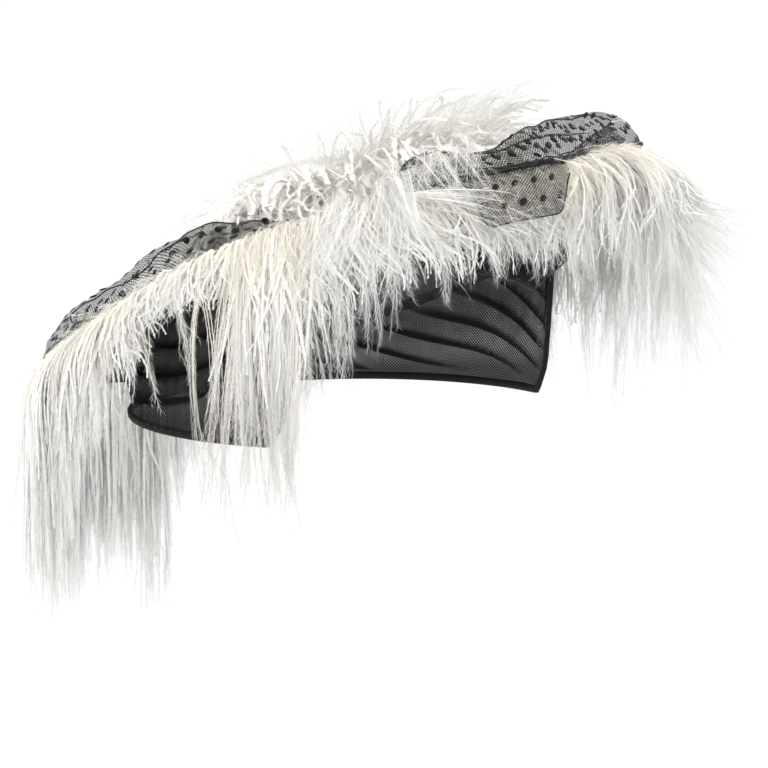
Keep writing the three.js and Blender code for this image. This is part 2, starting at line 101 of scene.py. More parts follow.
# Plumes over the rim: crest over the rim, how far out and down they hang, how much
# shorter the outermost locks are, how uneven their length is, how far the short flue
# falls and how many barbs each of its locks has, how many long bundles a plume has,
# which way and how far the tips drift (degrees), how wavy, how far drawn into locks,
# and how cream at the root.
RIM_FRINGE = table(
    "angle crest reach hang trim ragged short fill bundles lean stray wave lock cream",
    (-180, 10, 32, 172, 0.15, 0.2, 60, 4, 38, 0, 2.0, 1.6, 0.78, 0.5),
    (-165, 9, 33, 170, 0.10, 0.2, 60, 4, 38, 0, 1.6, 1.4, 0.82, 0.5),
    (-150, 8, 34, 186, 0.06, 0.2, 60, 4, 40, 0, 1.4, 1.2, 0.85, 0.5),
    (-135, 8, 34, 188, 0.06, 0.2, 60, 4, 40, 0, 1.4, 1.2, 0.85, 0.6),
    (-122, 8, 32, 174, 0.10, 0.2, 60, 5, 40, 0, 1.6, 1.4, 0.82, 0.9),
    (-110, 9, 28, 148, 0.20, 0.3, 58, 7, 38, -1, 2.4, 2.0, 0.75, 1.1),
    (-101, 10, 22, 104, 0.25, 0.4, 54, 8, 32, -3, 3.0, 2.4, 0.70, 1.1),
    (-95, 12, 18, 84, 0.15, 0.3, 40, 8, 26, 2, 4.0, 2.6, 0.80, 1.1),
    (-89, 14, 16, 80, 0.15, 0.3, 26, 8, 18, 2, 4.0, 2.6, 0.85, 1.1),
    (-83, 15, 16, 78, 0.20, 0.4, 18, 7, 3, 0, 3.0, 2.4, 0.75, 1.1),
    (-76, 17, 16, 78, 0.20, 0.5, 18, 7, 2, 0, 2.5, 2.0, 0.80, 1.1),
    (-71, 18, 17, 90, 0.15, 0.5, 20, 7, 2, 0, 2.5, 1.8, 0.85, 1.1),
    (-67.5, 18, 18, 150, 0.08, 0.5, 30, 7, 13, 0, 2.5, 1.8, 0.86, 1.3),
    (-64.5, 18, 18, 204, 0.05, 0.4, 42, 8, 25, 0, 4.0, 2.4, 0.88, 1.5),
    (-58, 17, 18, 206, 0.05, 0.4, 46, 8, 22, 0, 5.0, 2.8, 0.85, 1.5),
    (-50, 12, 14, 116, 0.20, 0.5, 48, 8, 14, 2, 5.0, 2.6, 0.70, 0.8),
    (-40, 10, 12, 84, 0.20, 0.4, 52, 9, 12, 8, 8.0, 3.0, 0.40, 0.6),
    (-30, 6, 9, 72, 0.20, 0.3, 64, 10, 20, 12, 10.0, 3.4, 0.35, 1.2),
    (-20, 3, 6, 76, 0.20, 0.3, 68, 10, 24, 9, 10.0, 2.6, 0.35, 1.6),
    (-4, 3, 6, 78, 0.20, 0.3, 72, 10, 24, 7, 10.0, 2.6, 0.35, 1.6),
    (6, 12, 24, 84, 0.30, 0.4, 74, 8, 26, 6, 9.0, 3.2, 0.45, 1.2),
    (14, 17, 48, 120, 0.50, 0.5, 70, 7, 36, 4, 6.0, 3.0, 0.60, 0.9),
    (24, 19, 82, 154, 0.66, 0.5, 74, 6, 44, 2, 8.0, 3.6, 0.60, 0.7),
    (42, 20, 96, 166, 0.70, 0.5, 78, 6, 46, 0, 8.0, 3.8, 0.62, 0.5),
    (62, 19, 62, 160, 0.55, 0.5, 72, 6, 38, 0, 7.0, 3.6, 0.65, 0.5),
    (78, 17, 42, 146, 0.35, 0.5, 62, 5, 22, 0, 5.0, 3.2, 0.70, 0.5),
    (92, 16, 34, 100, 0.20, 0.4, 56, 5, 20, 0, 3.5, 2.6, 0.70, 0.5),
    (106, 15, 32, 72, 0.15, 0.3, 50, 4, 18, 0, 3.0, 2.2, 0.70, 0.5),
    (130, 13, 30, 62, 0.10, 0.3, 46, 4, 18, 0, 2.5, 2.0, 0.65, 0.5),
    (158, 12, 30, 64, 0.10, 0.3, 46, 4, 20, 0, 2.5, 2.0, 0.65, 0.5),
    (164, 12, 30, 76, 0.10, 0.3, 46, 4, 24, 0, 2.5, 2.0, 0.65, 0.5),
    (172, 11, 32, 124, 0.15, 0.3, 54, 4, 34, 0, 2.0, 1.8, 0.70, 0.5),
    (180, 10, 32, 172, 0.15, 0.2, 60, 4, 38, 0, 2.0, 1.6, 0.78, 0.5),
)

# The ribbon's low edge and its fold at the top: radius, and height over the saucer,
# how far it puffs out, how tightly the low edge rolls, and how far it comes down again inside.
RIBBON = table(
    "angle low_radius low high_radius high puff roll tuck",
    (-322, 218, 27, 205, 48, 5, 0.6, 0.5),
    (-300, 202, 19, 164, 44, 6, 0.5, 0.6),
    (-270, 194, 15, 156, 36, 5, 0.5, 0.6),
    (-240, 194, 15, 154, 46, 7, 0.5, 0.5),
    (-210, 192, 14, 156, 36, 5, 0.5, 0.6),
    (-180, 194, 14, 158, 44, 7, 0.5, 0.5),
    (-152, 208, 16, 176, 40, 7, 0.5, 0.6),
    (-138, 215, 15, 192, 35, 6, 0.5, 0.7),
    (-128, 213, 14, 190, 34, 5, 0.5, 0.65),
    (-119, 206, 14, 180, 34, 4, 0.4, 0.6),
    (-108, 195, 14, 168, 32, 4, 0.3, 0.5),
    (-97, 193, 15, 160, 39, 5, 0.3, 0.45),
    (-87, 192, 15, 155, 46, 6, 0.3, 0.5),
    (-77, 191, 14, 153, 42, 6, 0.4, 0.6),
    (-67, 190, 12.5, 153, 34, 4, 0.6, 0.7),
    (-60, 188, 12, 154, 28, 3, 0.8, 0.7),
    (-53, 186, 10.5, 158, 18, 1, 1.0, 0.6),
    (-49, 185, 9.4, 164, 12.5, 0.6, 1.0, 0.4),
    (-37, 185, 9.4, 166, 12.5, 0.6, 1.0, 0.4),
    (-34, 190, 12, 172, 32, 5, 1.0, 0.5),
    (-29, 197, 12, 176, 40, 6, 0.9, 0.4),
    (-23, 198, 12, 178, 38, 5, 0.9, 0.4),
    (-16, 198, 12.5, 182, 27, 2, 1.0, 0.5),
    (-7, 200, 12, 178, 36, 6, 1.0, 0.6),
    (5, 200, 13.5, 174, 44, 7, 1.0, 0.7),
    (18, 204, 18, 176, 51, 8, 1.0, 0.7),
    (28, 211, 23, 188, 53, 7, 0.8, 0.6),
    (38, 218, 27, 205, 48, 5, 0.6, 0.5),
)
# The ribbon's tables are read with their corners rounded, as a mean over these steps
EASING = (-4.5, -2.0, 0.0, 2.0, 4.5)

# Each stretch of the ribbon from and to an angle, in its order along the cloth
RIBBON_STRETCHES = (
    ("ribbon_far_swag", -322, -152),
    ("ribbon_back_swag", -152, -49),
    ("ribbon_gather", -49, -31),
    ("ribbon_small_loop", -31, -16),
    ("ribbon_front_swag", -16, 38),
)
GATHERED = ("ribbon_gather", "ribbon_small_loop", "ribbon_front_swag")
# Columns of the cloth: the roll of its low edge, then its front up to the fold, then behind
ROLL_STEPS = 9
RIBBON_STRIPS = 26
FOLD_COLUMN = ROLL_STEPS - 1 + RIBBON_STRIPS - 1
SELVEDGE_RADIUS = 0.5

# The tab's path from the ribbon over the rim, and the angles of its two edges
RIBBON_TAB = table("out up", (-3.6, 11), (3, 11.8), (8.4, 7.8), (11, -4), (11.4, -20))
RIBBON_TAB_ANGLES = (-27.0, -3.0)

# The ribbon's dots, along a row and from row to row, and their size
DOT_SPACING = 15.0
DOT_ROW = 12.6
DOT_LENGTH = 6.2
DOT_BREADTH = 5.0
DOT_THICKNESS = 0.8

# How barbs and barbules are made, with a finer and a coarser kind for near and far plumes
BARB_POINTS = 14
BARB_WIDTH = 0.44
BARBULE_WIDTH = 0.24
BARBULE_LENGTH = 7.5
BARBULE_SPACING = 1.42
BARBULE_ANGLE = 0.42
BARBULE_SEED = 11
FINE = {"spacing": 0.98, "thickness": 0.16, "length": 7.0, "opening": 0.55}
COARSE = {"spacing": 2.4, "thickness": 0.3, "length": 8.5, "opening": 0.3}
CROWN_KIND = {**FINE, "spacing": 1.15, "thickness": 0.17}
DOWN_WIDTH = 4.4
HAIR_PITCH = 0.8
STREAK_LENGTH = 26 * HAIR_PITCH
# How far from the root the cream is full, and where it ends
CREAM_FULL = 40.0
CREAM_END = 112.0

# The plumes over the rim: the most long bundles that one has, the share of these that is
# hardly trimmed, and its locks of short flue and of down
PLUME_COUNT = 14
MOST_BUNDLES = 50
LONG_STRANDS = 0.24
SHORT_LOCKS = 18
DOWN_LOCKS = 125
# Degrees from one pointed lock to the next, and the least that a bundle hangs out from the rim
LOCK_PITCH = 7.5
LEAST_REACH = 4.5
# Between which angles the plumes have fine flue, have no coarse flue, and have narrow down
FINE_FLUE = (-78, 0)
NO_COARSE_FLUE = (-104, 78)
NARROW_DOWN = (-129, 78)
# The plume under the tab has no stray barbs in its short flue
TAB_PLUME = 6
# The heavy locks of the tail at the back, by how far out they hang
TAIL_ANGLE = -178.5
TAIL_REACH = (5.0, 9.0, 14.0)
# Long locks past the hem: angle, drop below the rim, how far they swing round, how far out
NEAR_FINGERS = (
    (-73.6, 154, 0, 14), (-68.5, 128, -2, 12), (-66.5, 162, -4, 16), (-65.0, 160, 2, 14),
    (-64.0, 170, -3, 17), (-61.5, 168, 2, 15), (-58.5, 176, 3, 16), (-53.0, 174, -4, 15),
)
# The room that no barb leaves, and how gently they turn back from its walls
PLUME_ROOM = ((-236.0, -176.0, -296.0), (257.0, 297.0, 110.0))
PLUME_SOFTNESS = 18.0

# Locks of the tuft and beside the small loop, and the bare quills next to them
TUFT_LOCKS = 34
LOOP_LOCKS = 12
FRONT_QUILLS = 12

# The crown's plumes: its section from the middle out and down (radius, and height over
# the saucer), and how it widens and rises round the hat
CROWN_MIDDLE = np.array([8.0, -12.0 * math.cos(SAUCER_PITCH), 12.0 * math.sin(SAUCER_PITCH)])
CROWN_SECTION = np.array([(6, 66), (46, 82), (88, 84), (118, 68), (130, 42), (122, 16)], float)
CROWN_SPREAD = table(
    "angle spread rise",
    (-180, 1.04, 0.9), (-120, 1.06, 0.84), (-60, 1.04, 0.8), (-20, 1.04, 0.88), (20, 1.08, 1.04),
    (50, 1.14, 1.14), (90, 1.04, 0.98), (130, 0.97, 0.9), (180, 0.98, 0.86),
)
CROWN_PLUMES = 4
CROWN_QUARTER = 360 / CROWN_PLUMES
# Each quarter's locks of flue, of down, and of the down that falls over its low edge
CROWN_LOCKS = 84
CROWN_DOWN = 190
CROWN_SKIRT = 100
CROWN_STEPS = 24
# The soft mass inside them: its share of the section, and its mesh round and down
CORE_SHARE = 0.84
CORE_COLUMNS = 200
CORE_ROWS = 56
# Angles of the barbs that stand out past the crown at its front left, and how many a degree
CROWN_FLARE = (2.0, 74.0)
CROWN_FLARE_DENSITY = 0.7


def read(rows, column, angle):
    """A column of a table at an angle, in a straight line between its rows."""
    return np.interp(angle, rows["angle"], rows[column])


def eased(rows, column, angle):
    """The column read with its corners rounded off."""
    return np.mean([read(rows, column, angle + step) for step in EASING], axis=0)


def smooth(value, low=0.0, high=1.0):
    """From 0 to 1 with soft ends, while the value goes from low to high."""
    t = np.clip((value - low) / (high - low), 0.0, 1.0)
    return t * t * (3.0 - 2.0 * t)


def on_saucer(angle, radius, height):
    """Points over the saucer, from an angle from the face, a radius and a height."""
    turn = np.radians(angle)
    return (
        SAUCER_CENTRE
        + np.multiply.outer(np.sin(turn) * radius, ACROSS)
        - np.multiply.outer(np.cos(turn) * radius, BACKWARD)
        + np.multiply.outer(height + 0.0 * turn, ABOVE)
    )


def at_rim(angle, radius, out, up):
    """Points near the rim: out from it on the level and up from it."""
    turn = np.radians(angle)
    flat = np.multiply.outer(np.sin(turn), ACROSS) - np.multiply.outer(np.cos(turn), BACKWARD)
    flat[..., 2] = 0.0
    outward = flat / np.linalg.norm(flat, axis=-1, keepdims=True)
    return on_saucer(angle, radius, 0.0) + outward * np.expand_dims(out, -1) + np.multiply.outer(up, UP)


def lengths_along(points, axis):
    """How far each point lies along its row, from the first."""
    step = np.linalg.norm(np.diff(points, axis=axis), axis=-1)
    zero = np.zeros_like(np.take(step, [0], axis=axis))
    return np.concatenate([zero, np.cumsum(step, axis=axis)], axis=axis)


# Meshes from arrays

def finish_object(name, mesh, material=None):
    """A mesh as a piece in the scene, with its material if it has none yet."""
    if material is not None:
        mesh.materials.append(material)
    made = bpy.data.objects.new(name, mesh)
    bpy.context.scene.collection.objects.link(made)
    return made


def shade_smooth(mesh):
    mesh.polygons.foreach_set("use_smooth", np.ones(len(mesh.polygons), bool))


def store(mesh, name, values):
    """One number for each point of a mesh, under a name."""
    layer = mesh.attributes.new(name, "FLOAT", "POINT")
    layer.data.foreach_set("value", values.reshape(-1).astype(np.float32))


def grid_object(name, points, material, uv=None, wrap_rows=False, wrap_columns=False, fold=None):
    """A skin through a grid of points. uv is the cloth's own place in millimetres."""
    rows, columns = points.shape[:2]
    r, c = np.meshgrid(
        np.arange(rows if wrap_rows else rows - 1),
        np.arange(columns if wrap_columns else columns - 1),
        indexing="ij",
    )
    r2, c2 = (r + 1) % rows, (c + 1) % columns
    faces = np.stack([r * columns + c, r2 * columns + c, r2 * columns + c2, r * columns + c2], -1)
    mesh = bpy.data.meshes.new(name)
    mesh.from_pydata((points.reshape(-1, 3) * MM).tolist(), [], faces.reshape(-1, 4).tolist())
    if uv is not None:
        corners = np.stack([uv[r, c], uv[r + 1, c], uv[r + 1, c + 1], uv[r, c + 1]], -2) * MM
        layer = mesh.uv_layers.new(name="cloth")
        layer.data.foreach_set("uv", corners.reshape(-1))
    if fold is not None:
        store(mesh, "fold", fold)
    shade_smooth(mesh)
    mesh.update()
    return finish_object(name, mesh, material)


def line_object(name, strands, columns=None):
    """Loose lines through strands of points, with a value of each named column per point."""
    count, length = strands.shape[:2]
    start = (np.arange(count)[:, None] * length + np.arange(length - 1)).reshape(-1)
    mesh = bpy.data.meshes.new(name)
    mesh.vertices.add(count * length)
    mesh.vertices.foreach_set("co", (strands.reshape(-1) * MM).astype(np.float32))
    mesh.edges.add(len(start))
    mesh.edges.foreach_set("vertices", np.stack([start, start + 1], -1).reshape(-1).astype(np.int32))
    for label, values in (columns or {}).items():
        store(mesh, label, np.broadcast_to(values, (count, length)))
    mesh.update()
    return finish_object(name, mesh)


# Geometry trees

def add_node(tree, kind, inputs=None, **settings):
    """A new node, with each named input linked or set."""
    made = tree.nodes.new(kind)
    for key, value in settings.items():
        setattr(made, key, value)
    for key, value in (inputs or {}).items():
        if isinstance(value, bpy.types.NodeSocket):
            tree.links.new(value, made.inputs[key])
        else:
            made.inputs[key].default_value = value
    return made


def reckon(tree, operation, first, second=0.0):
    """A sum, product or other step on numbers."""
    return add_node(tree, "ShaderNodeMath", {0: first, 1: second}, operation=operation).outputs[0]


def reckon_vectors(tree, operation, first, second):
    return add_node(tree, "ShaderNodeVectorMath", {0: first, 1: second}, operation=operation).outputs[0]


def carried(tree, name, kind="FLOAT"):
    """What the lines or points carry under a name."""
    return add_node(tree, "GeometryNodeInputNamedAttribute", {"Name": name}, data_type=kind).outputs[0]


def stored(tree, geometry, name, value):
    """The same geometry, carrying a value under a name from here on."""
    return add_node(tree, "GeometryNodeStoreNamedAttribute", {
        "Geometry": geometry, "Name": name, "Value": value,
    }, data_type="FLOAT", domain="POINT").outputs[0]


def chance(tree, low, high, seed):
    """A random number between two others, fixed by its seed."""
    made = add_node(tree, "FunctionNodeRandomValue", {2: low, 3: high, "Seed": seed}, data_type="FLOAT")
    return made.outputs[1]


def new_tree(name, numbers, seeded=False):
    """A tree with a named input for each size, and for its material."""
    tree = bpy.data.node_groups.new(name, "GeometryNodeTree")
    tree.interface.new_socket("Geometry", in_out="INPUT", socket_type="NodeSocketGeometry")
    for label in numbers:
        tree.interface.new_socket(label, in_out="INPUT", socket_type="NodeSocketFloat")
    if seeded:
        tree.interface.new_socket("Seed", in_out="INPUT", socket_type="NodeSocketInt")
    tree.interface.new_socket("Material", in_out="INPUT", socket_type="NodeSocketMaterial")
    tree.interface.new_socket("Geometry", in_out="OUTPUT", socket_type="NodeSocketGeometry")
    return tree, tree.nodes.new("NodeGroupInput").outputs


def close_tree(tree, geometry, given):
    """Every tree ends in real geometry with its material set."""
    real = add_node(tree, "GeometryNodeRealizeInstances", {"Geometry": geometry}).outputs[0]
    finished = add_node(tree, "GeometryNodeSetMaterial", {"Geometry": real, "Material": given["Material"]})
    tree.links.new(finished.outputs[0], tree.nodes.new("NodeGroupOutput").inputs[0])
    return tree


def grow(source, tree, values):
    """Runs a tree on an object and keeps the result as a plain mesh of the same name."""
    modifier = source.modifiers.new(tree.name, "NODES")
    modifier.node_group = tree
    for item in tree.interface.items_tree:
        if item.in_out == "INPUT" and item.name in values:
            modifier[item.identifier] = values[item.name]
    bpy.context.view_layer.update()
    graph = bpy.context.evaluated_depsgraph_get()
    mesh = bpy.data.meshes.new_from_object(
        source.evaluated_get(graph), preserve_all_data_layers=True, depsgraph=graph
    )
    name, old = source.name, source.data
    bpy.data.objects.remove(source)
    bpy.data.meshes.remove(old)
    mesh.name = name
    return finish_object(name, mesh)


def flat_barbs(tree, given):
    """Lines as turned curves, and flat tapering strips that know how far along and across they are."""
    curves = add_node(tree, "GeometryNodeMeshToCurve", {"Mesh": given["Geometry"]}).outputs[0]
    turned = add_node(tree, "GeometryNodeSetCurveTilt", {
        "Curve": curves, "Tilt": carried(tree, "twist"),
    }).outputs[0]
    travel = tree.nodes.new("GeometryNodeSplineParameter").outputs
    strip = add_node(tree, "GeometryNodeCurvePrimitiveLine", {
        "Start": (-0.5, 0, 0), "End": (0.5, 0, 0),
    }).outputs[0]
    barbs = add_node(tree, "GeometryNodeCurveToMesh", {
        "Curve": stored(tree, turned, "run", travel["Length"]),
        "Profile Curve": stored(tree, strip, "across", travel["Factor"]),
        "Scale": reckon(tree, "MULTIPLY", carried(tree, "taper"), given["Barb Width"]),
    }).outputs[0]
    return turned, barbs


def down_tree():
    """Broad soft strips along lines; the material gives them their downy edges."""
    tree, given = new_tree("ostrich_down", ["Barb Width"])
    return close_tree(tree, flat_barbs(tree, given)[1], given)


def flue_tree():
    """Barbs as tapering strips along lines, with fine barbules standing off them."""
    tree, given = new_tree(
        "ostrich_flue",
        ["Barb Width", "Barbule Spacing", "Barbule Length", "Barbule Angle", "Barbule Width"],
        seeded=True,
    )
    turned, barbs = flat_barbs(tree, given)
    places = add_node(tree, "GeometryNodeCurveToPoints", {
        "Curve": turned, "Length": given["Barbule Spacing"],
    }, mode="LENGTH").outputs
    # One barbule is a triangle of unit size that points along X from its root
    triangle = add_node(tree, "GeometryNodeMeshCircle", {"Vertices": 3, "Radius": 1.0}, fill_type="NGON")
    barbule = add_node(tree, "GeometryNodeTransform", {
        "Geometry": triangle.outputs[0], "Translation": (1 / 3, 0, 0),
        "Scale": (1 / 1.5, 1 / math.sqrt(3), 1),
    }).outputs[0]
    row = add_node(tree, "FunctionNodeRandomValue", {4: 0, 5: 1, "Seed": given["Seed"]}, data_type="INT")
    side = reckon(tree, "MULTIPLY", row.outputs[2], math.pi)
    opened = reckon(tree, "MULTIPLY", chance(tree, 0.5, 1.5, 5), given["Barbule Angle"])
    turn = add_node(tree, "ShaderNodeCombineXYZ", {
        "X": chance(tree, 1.1, 2.0, 7),
        "Y": reckon(tree, "SUBTRACT", opened, math.pi / 2),
        "Z": reckon(tree, "ADD", side, chance(tree, -0.7, 0.7, 2)),
    }).outputs[0]
    spin = add_node(tree, "FunctionNodeEulerToRotation", {0: turn}).outputs[0]
    stand = add_node(
        tree, "FunctionNodeRotateRotation", {"Rotation": places["Rotation"], "Rotate By": spin},
        rotation_space="LOCAL",
    ).outputs[0]
    length = reckon(tree, "MULTIPLY", chance(tree, 0.45, 1.15, 9), given["Barbule Length"])
    size = add_node(tree, "ShaderNodeCombineXYZ", {
        "X": reckon(tree, "MULTIPLY", length, carried(tree, "fluff")), "Y": given["Barbule Width"], "Z": 1.0,
    }).outputs[0]
    barbules = add_node(tree, "GeometryNodeInstanceOnPoints", {
        "Points": places[0], "Instance": barbule, "Rotation": stand, "Scale": size,
    }).outputs[0]
    both = tree.nodes.new("GeometryNodeJoinGeometry")
    for part in (barbules, barbs):
        tree.links.new(part, both.inputs[0])
    return close_tree(tree, both.outputs[0], given)


def thread_tree():
    """A round thread along each line."""
    tree, given = new_tree("thread", ["Radius"])
    curves = add_node(tree, "GeometryNodeMeshToCurve", {"Mesh": given["Geometry"]}).outputs[0]
    ring = add_node(tree, "GeometryNodeCurvePrimitiveCircle", {"Resolution": 5, "Radius": 1.0}).outputs[0]
    thread = add_node(tree, "GeometryNodeCurveToMesh", {
        "Curve": curves, "Profile Curve": ring, "Scale": given["Radius"], "Fill Caps": True,
    }).outputs[0]
    return close_tree(tree, thread, given)


def dot_tree():
    """A flat flocked dot on every point, lying on the cloth there."""
    tree, given = new_tree("flocked_dots", ["Length", "Breadth", "Thickness"])
    flat = add_node(tree, "FunctionNodeAlignRotationToVector", {
        "Vector": carried(tree, "face", "FLOAT_VECTOR"),
    }, axis="Z").outputs[0]
    lying = add_node(tree, "FunctionNodeAlignRotationToVector", {
        "Rotation": flat, "Vector": carried(tree, "along", "FLOAT_VECTOR"),
    }, axis="X", pivot_axis="Z").outputs[0]
    ball = add_node(tree, "GeometryNodeMeshUVSphere", {"Segments": 8, "Rings": 4, "Radius": 0.5}).outputs[0]
    size = add_node(tree, "ShaderNodeCombineXYZ", {
        "X": given["Length"], "Y": given["Breadth"], "Z": given["Thickness"],
    }).outputs[0]
    vary = add_node(
        tree, "FunctionNodeRandomValue", {0: (0.85, 0.85, 1.0), 1: (1.1, 1.1, 1.0), "Seed": 3},
        data_type="FLOAT_VECTOR",
    ).outputs[0]
    dots = add_node(tree, "GeometryNodeInstanceOnPoints", {
        "Points": given["Geometry"], "Instance": ball, "Rotation": lying,
        "Scale": reckon_vectors(tree, "MULTIPLY", size, vary),
    }).outputs[0]
    rounded = add_node(tree, "GeometryNodeSetShadeSmooth", {"Geometry": dots}).outputs[0]
    return close_tree(tree, rounded, given)


# Shared shader groups

def shader_group(name, numbers, outputs):
    """A group that reads a vector and named numbers, and puts out named values."""
    group = bpy.data.node_groups.new(name, "ShaderNodeTree")
    group.interface.new_socket("Vector", in_out="INPUT", socket_type="NodeSocketVector")
    for label in numbers:
        group.interface.new_socket(label, in_out="INPUT", socket_type="NodeSocketFloat")
    for label in outputs:
        group.interface.new_socket(label, in_out="OUTPUT", socket_type="NodeSocketFloat")
    return group, group.nodes.new("NodeGroupInput").outputs, group.nodes.new("NodeGroupOutput").inputs


def noise(tree, vector, size, detail, output="Fac"):
    return add_node(tree, "ShaderNodeTexNoise", {
        "Vector": vector, "Scale": size, "Detail": detail,
    }).outputs[output]


def ramp(tree, value, low, high, first=0.0, last=1.0):
    """Runs from first to last while the value goes from low to high."""
    return add_node(tree, "ShaderNodeMapRange", {
        "Value": value, "From Min": low, "From Max": high, "To Min": first, "To Max": last,
    }).outputs[0]


def net_group():
    """A diamond net: where its threads lie, and how proud they stand."""
    group, given, out = shader_group(
        "open_net", ["Cell", "Thread", "Cross Thread", "Wander", "Veil"], ["Cover", "Height"]
    )
    drift = noise(group, given["Vector"], 60.0, 1.0, "Color")
    centred = reckon_vectors(group, "SUBTRACT", drift, (0.5, 0.5, 0.5))
    pulled = add_node(
        group, "ShaderNodeVectorMath", {0: centred, "Scale": given["Wander"]}, operation="SCALE"
    ).outputs[0]
    turned = add_node(group, "ShaderNodeVectorRotate", {
        "Vector": reckon_vectors(group, "ADD", given["Vector"], pulled), "Angle": math.pi / 4,
    }, rotation_type="Z_AXIS").outputs[0]
    axes = add_node(group, "ShaderNodeSeparateXYZ", {0: turned}).outputs
    walls = []
    for axis, thread in (("X", "Thread"), ("Y", "Cross Thread")):
        cells = reckon(group, "DIVIDE", axes[axis], given["Cell"])
        half = reckon(group, "DIVIDE", given[thread], given["Cell"])
        soft = reckon(group, "MULTIPLY", half, 1.25)
        walls.append(ramp(group, reckon(group, "PINGPONG", cells, 0.5), half, soft, 1.0, given["Veil"]))
    group.links.new(reckon(group, "MAXIMUM", *walls), out["Cover"])
    group.links.new(reckon(group, "ADD", *walls), out["Height"])
    return group


def fibre_group():
    """Fine mottling along a thread or feather, for colour and bump."""
    group, given, out = shader_group("soft_fibre", ["Size"], ["Mottle", "Height"])
    fine_size = reckon(group, "MULTIPLY", given["Size"], 9.0)
    group.links.new(noise(group, given["Vector"], given["Size"], 3.0), out["Mottle"])
    group.links.new(noise(group, given["Vector"], fine_size, 2.0), out["Height"])
    return group


# Materials

def new_material(name, roughness, sheen=0.0):
    """A plain material, with its tree and the inputs of its shader."""
    material = bpy.data.materials.new(name)
    material.use_nodes = True
    shader = material.node_tree.nodes["Principled BSDF"].inputs
    shader["Roughness"].default_value = roughness
    shader["Specular IOR Level"].default_value = 0.15
    shader["Sheen Weight"].default_value = sheen
    shader["Sheen Roughness"].default_value = 0.5
    return material, material.node_tree, shader


def on_object(tree):
    """The place on the piece in its own metres."""
    return add_node(tree, "ShaderNodeTexCoord").outputs["Object"]


def bump(tree, shader, height, strength, depth):
    """Raises the surface where the height is, up to a depth in millimetres."""
    made = add_node(tree, "ShaderNodeBump", {"Height": height, "Strength": strength, "Distance": depth * MM})
    tree.links.new(made.outputs[0], shader["Normal"])


def blend_colours(tree, factor, first, second):
    """From the first colour to the second; a plain colour is given as red, green, blue."""
    first, second = ((*colour, 1) if isinstance(colour, tuple) else colour for colour in (first, second))
    return add_node(tree, "ShaderNodeMix", {0: factor, 6: first, 7: second}, data_type="RGBA").outputs[2]


def soft_fibre(tree, size):
    """The mottling of threads and feathers, at this size, on the piece."""
    return add_node(tree, "ShaderNodeGroup", {
        "Vector": on_object(tree), "Size": size,
    }, node_tree=FIBRE).outputs


def lace(tree, vector, cell, threads, wander, veil=0.0):
    """The diamond net, its sizes in millimetres."""
    return add_node(tree, "ShaderNodeGroup", {
        "Vector": vector, "Cell": cell * MM, "Thread": threads[0] * MM, "Cross Thread": threads[1] * MM,
        "Wander": wander * MM, "Veil": veil,
    }, node_tree=NET).outputs


def attribute(tree, name):
    """What the mesh carries under a name."""
    return add_node(tree, "ShaderNodeAttribute", attribute_name=name).outputs["Fac"]


def net_material(name, cell, threads, wander, veil, dark, light):
    """Black net cloth: open between its threads, and closed where a fold lies in layers, with painted shade
    darkening it there.
    """
    material, tree, shader = new_material(name, 0.75)
    cloth = add_node(tree, "ShaderNodeUVMap", uv_map="cloth").outputs[0]
    threads = lace(tree, cloth, cell, threads, wander, veil)
    fold = attribute(tree, "fold")
    # Painted shade: the colour darkens where the fold value is high, in the tucks and along the hem.
    mottle_with_painted_fold_shade = reckon(tree, "MULTIPLY", soft_fibre(tree, 120.0)["Mottle"], reckon(tree, "SUBTRACT", 1.0, fold))
    tree.links.new(blend_colours(tree, mottle_with_painted_fold_shade, dark, light), shader["Base Color"])
    tree.links.new(reckon(tree, "MAXIMUM", threads["Cover"], fold), shader["Alpha"])
    bump(tree, shader, threads["Height"], 0.5, 0.3)
    return material


def woven_material(name, dark, light, roughness, size, sheen):
    """Close black cloth: binding, flocking, thread and the rolled edge of the ribbon."""
    material, tree, shader = new_material(name, roughness, sheen)
    soft = soft_fibre(tree, size)
    tree.links.new(blend_colours(tree, soft["Mottle"], dark, light), shader["Base Color"])
    bump(tree, shader, soft["Height"], 0.35, 0.4)
    return material


def saucer_material():
    """Black net drawn over the stiff saucer."""
    material, tree, shader = new_material("saucer_net", 0.8, 0.1)
    threads = lace(tree, on_object(tree), 1.63, (0.3, 0.3), 0.5)
    ground = blend_colours(
        tree, soft_fibre(tree, 40.0)["Mottle"], (0.035, 0.034, 0.033), (0.07, 0.068, 0.066)
    )
    colour = blend_colours(tree, threads["Cover"], ground, (0.012, 0.012, 0.013))
    tree.links.new(colour, shader["Base Color"])
    bump(tree, shader, threads["Height"], 0.5, 0.3)
    return material


def ostrich_material(name, white, shade, cream, thin):
    """Ostrich flue: off-white, softly mottled, cream towards the root, and darker at the thin tips, a
    painted shade.
    """
    material, tree, shader = new_material(name, 0.62, 0.25)
    soft = soft_fibre(tree, 45.0)
    body = blend_colours(tree, soft["Mottle"], shade, white)
    grown = blend_colours(tree, attribute(tree, "cream"), body, cream)
    # Painted shade: the thin tips take the darker tip colour.
    tree.links.new(blend_colours(tree, attribute(tree, "thin"), grown, thin), shader["Base Color"])
    bump(tree, shader, soft["Height"], 0.2, 0.2)
    return material


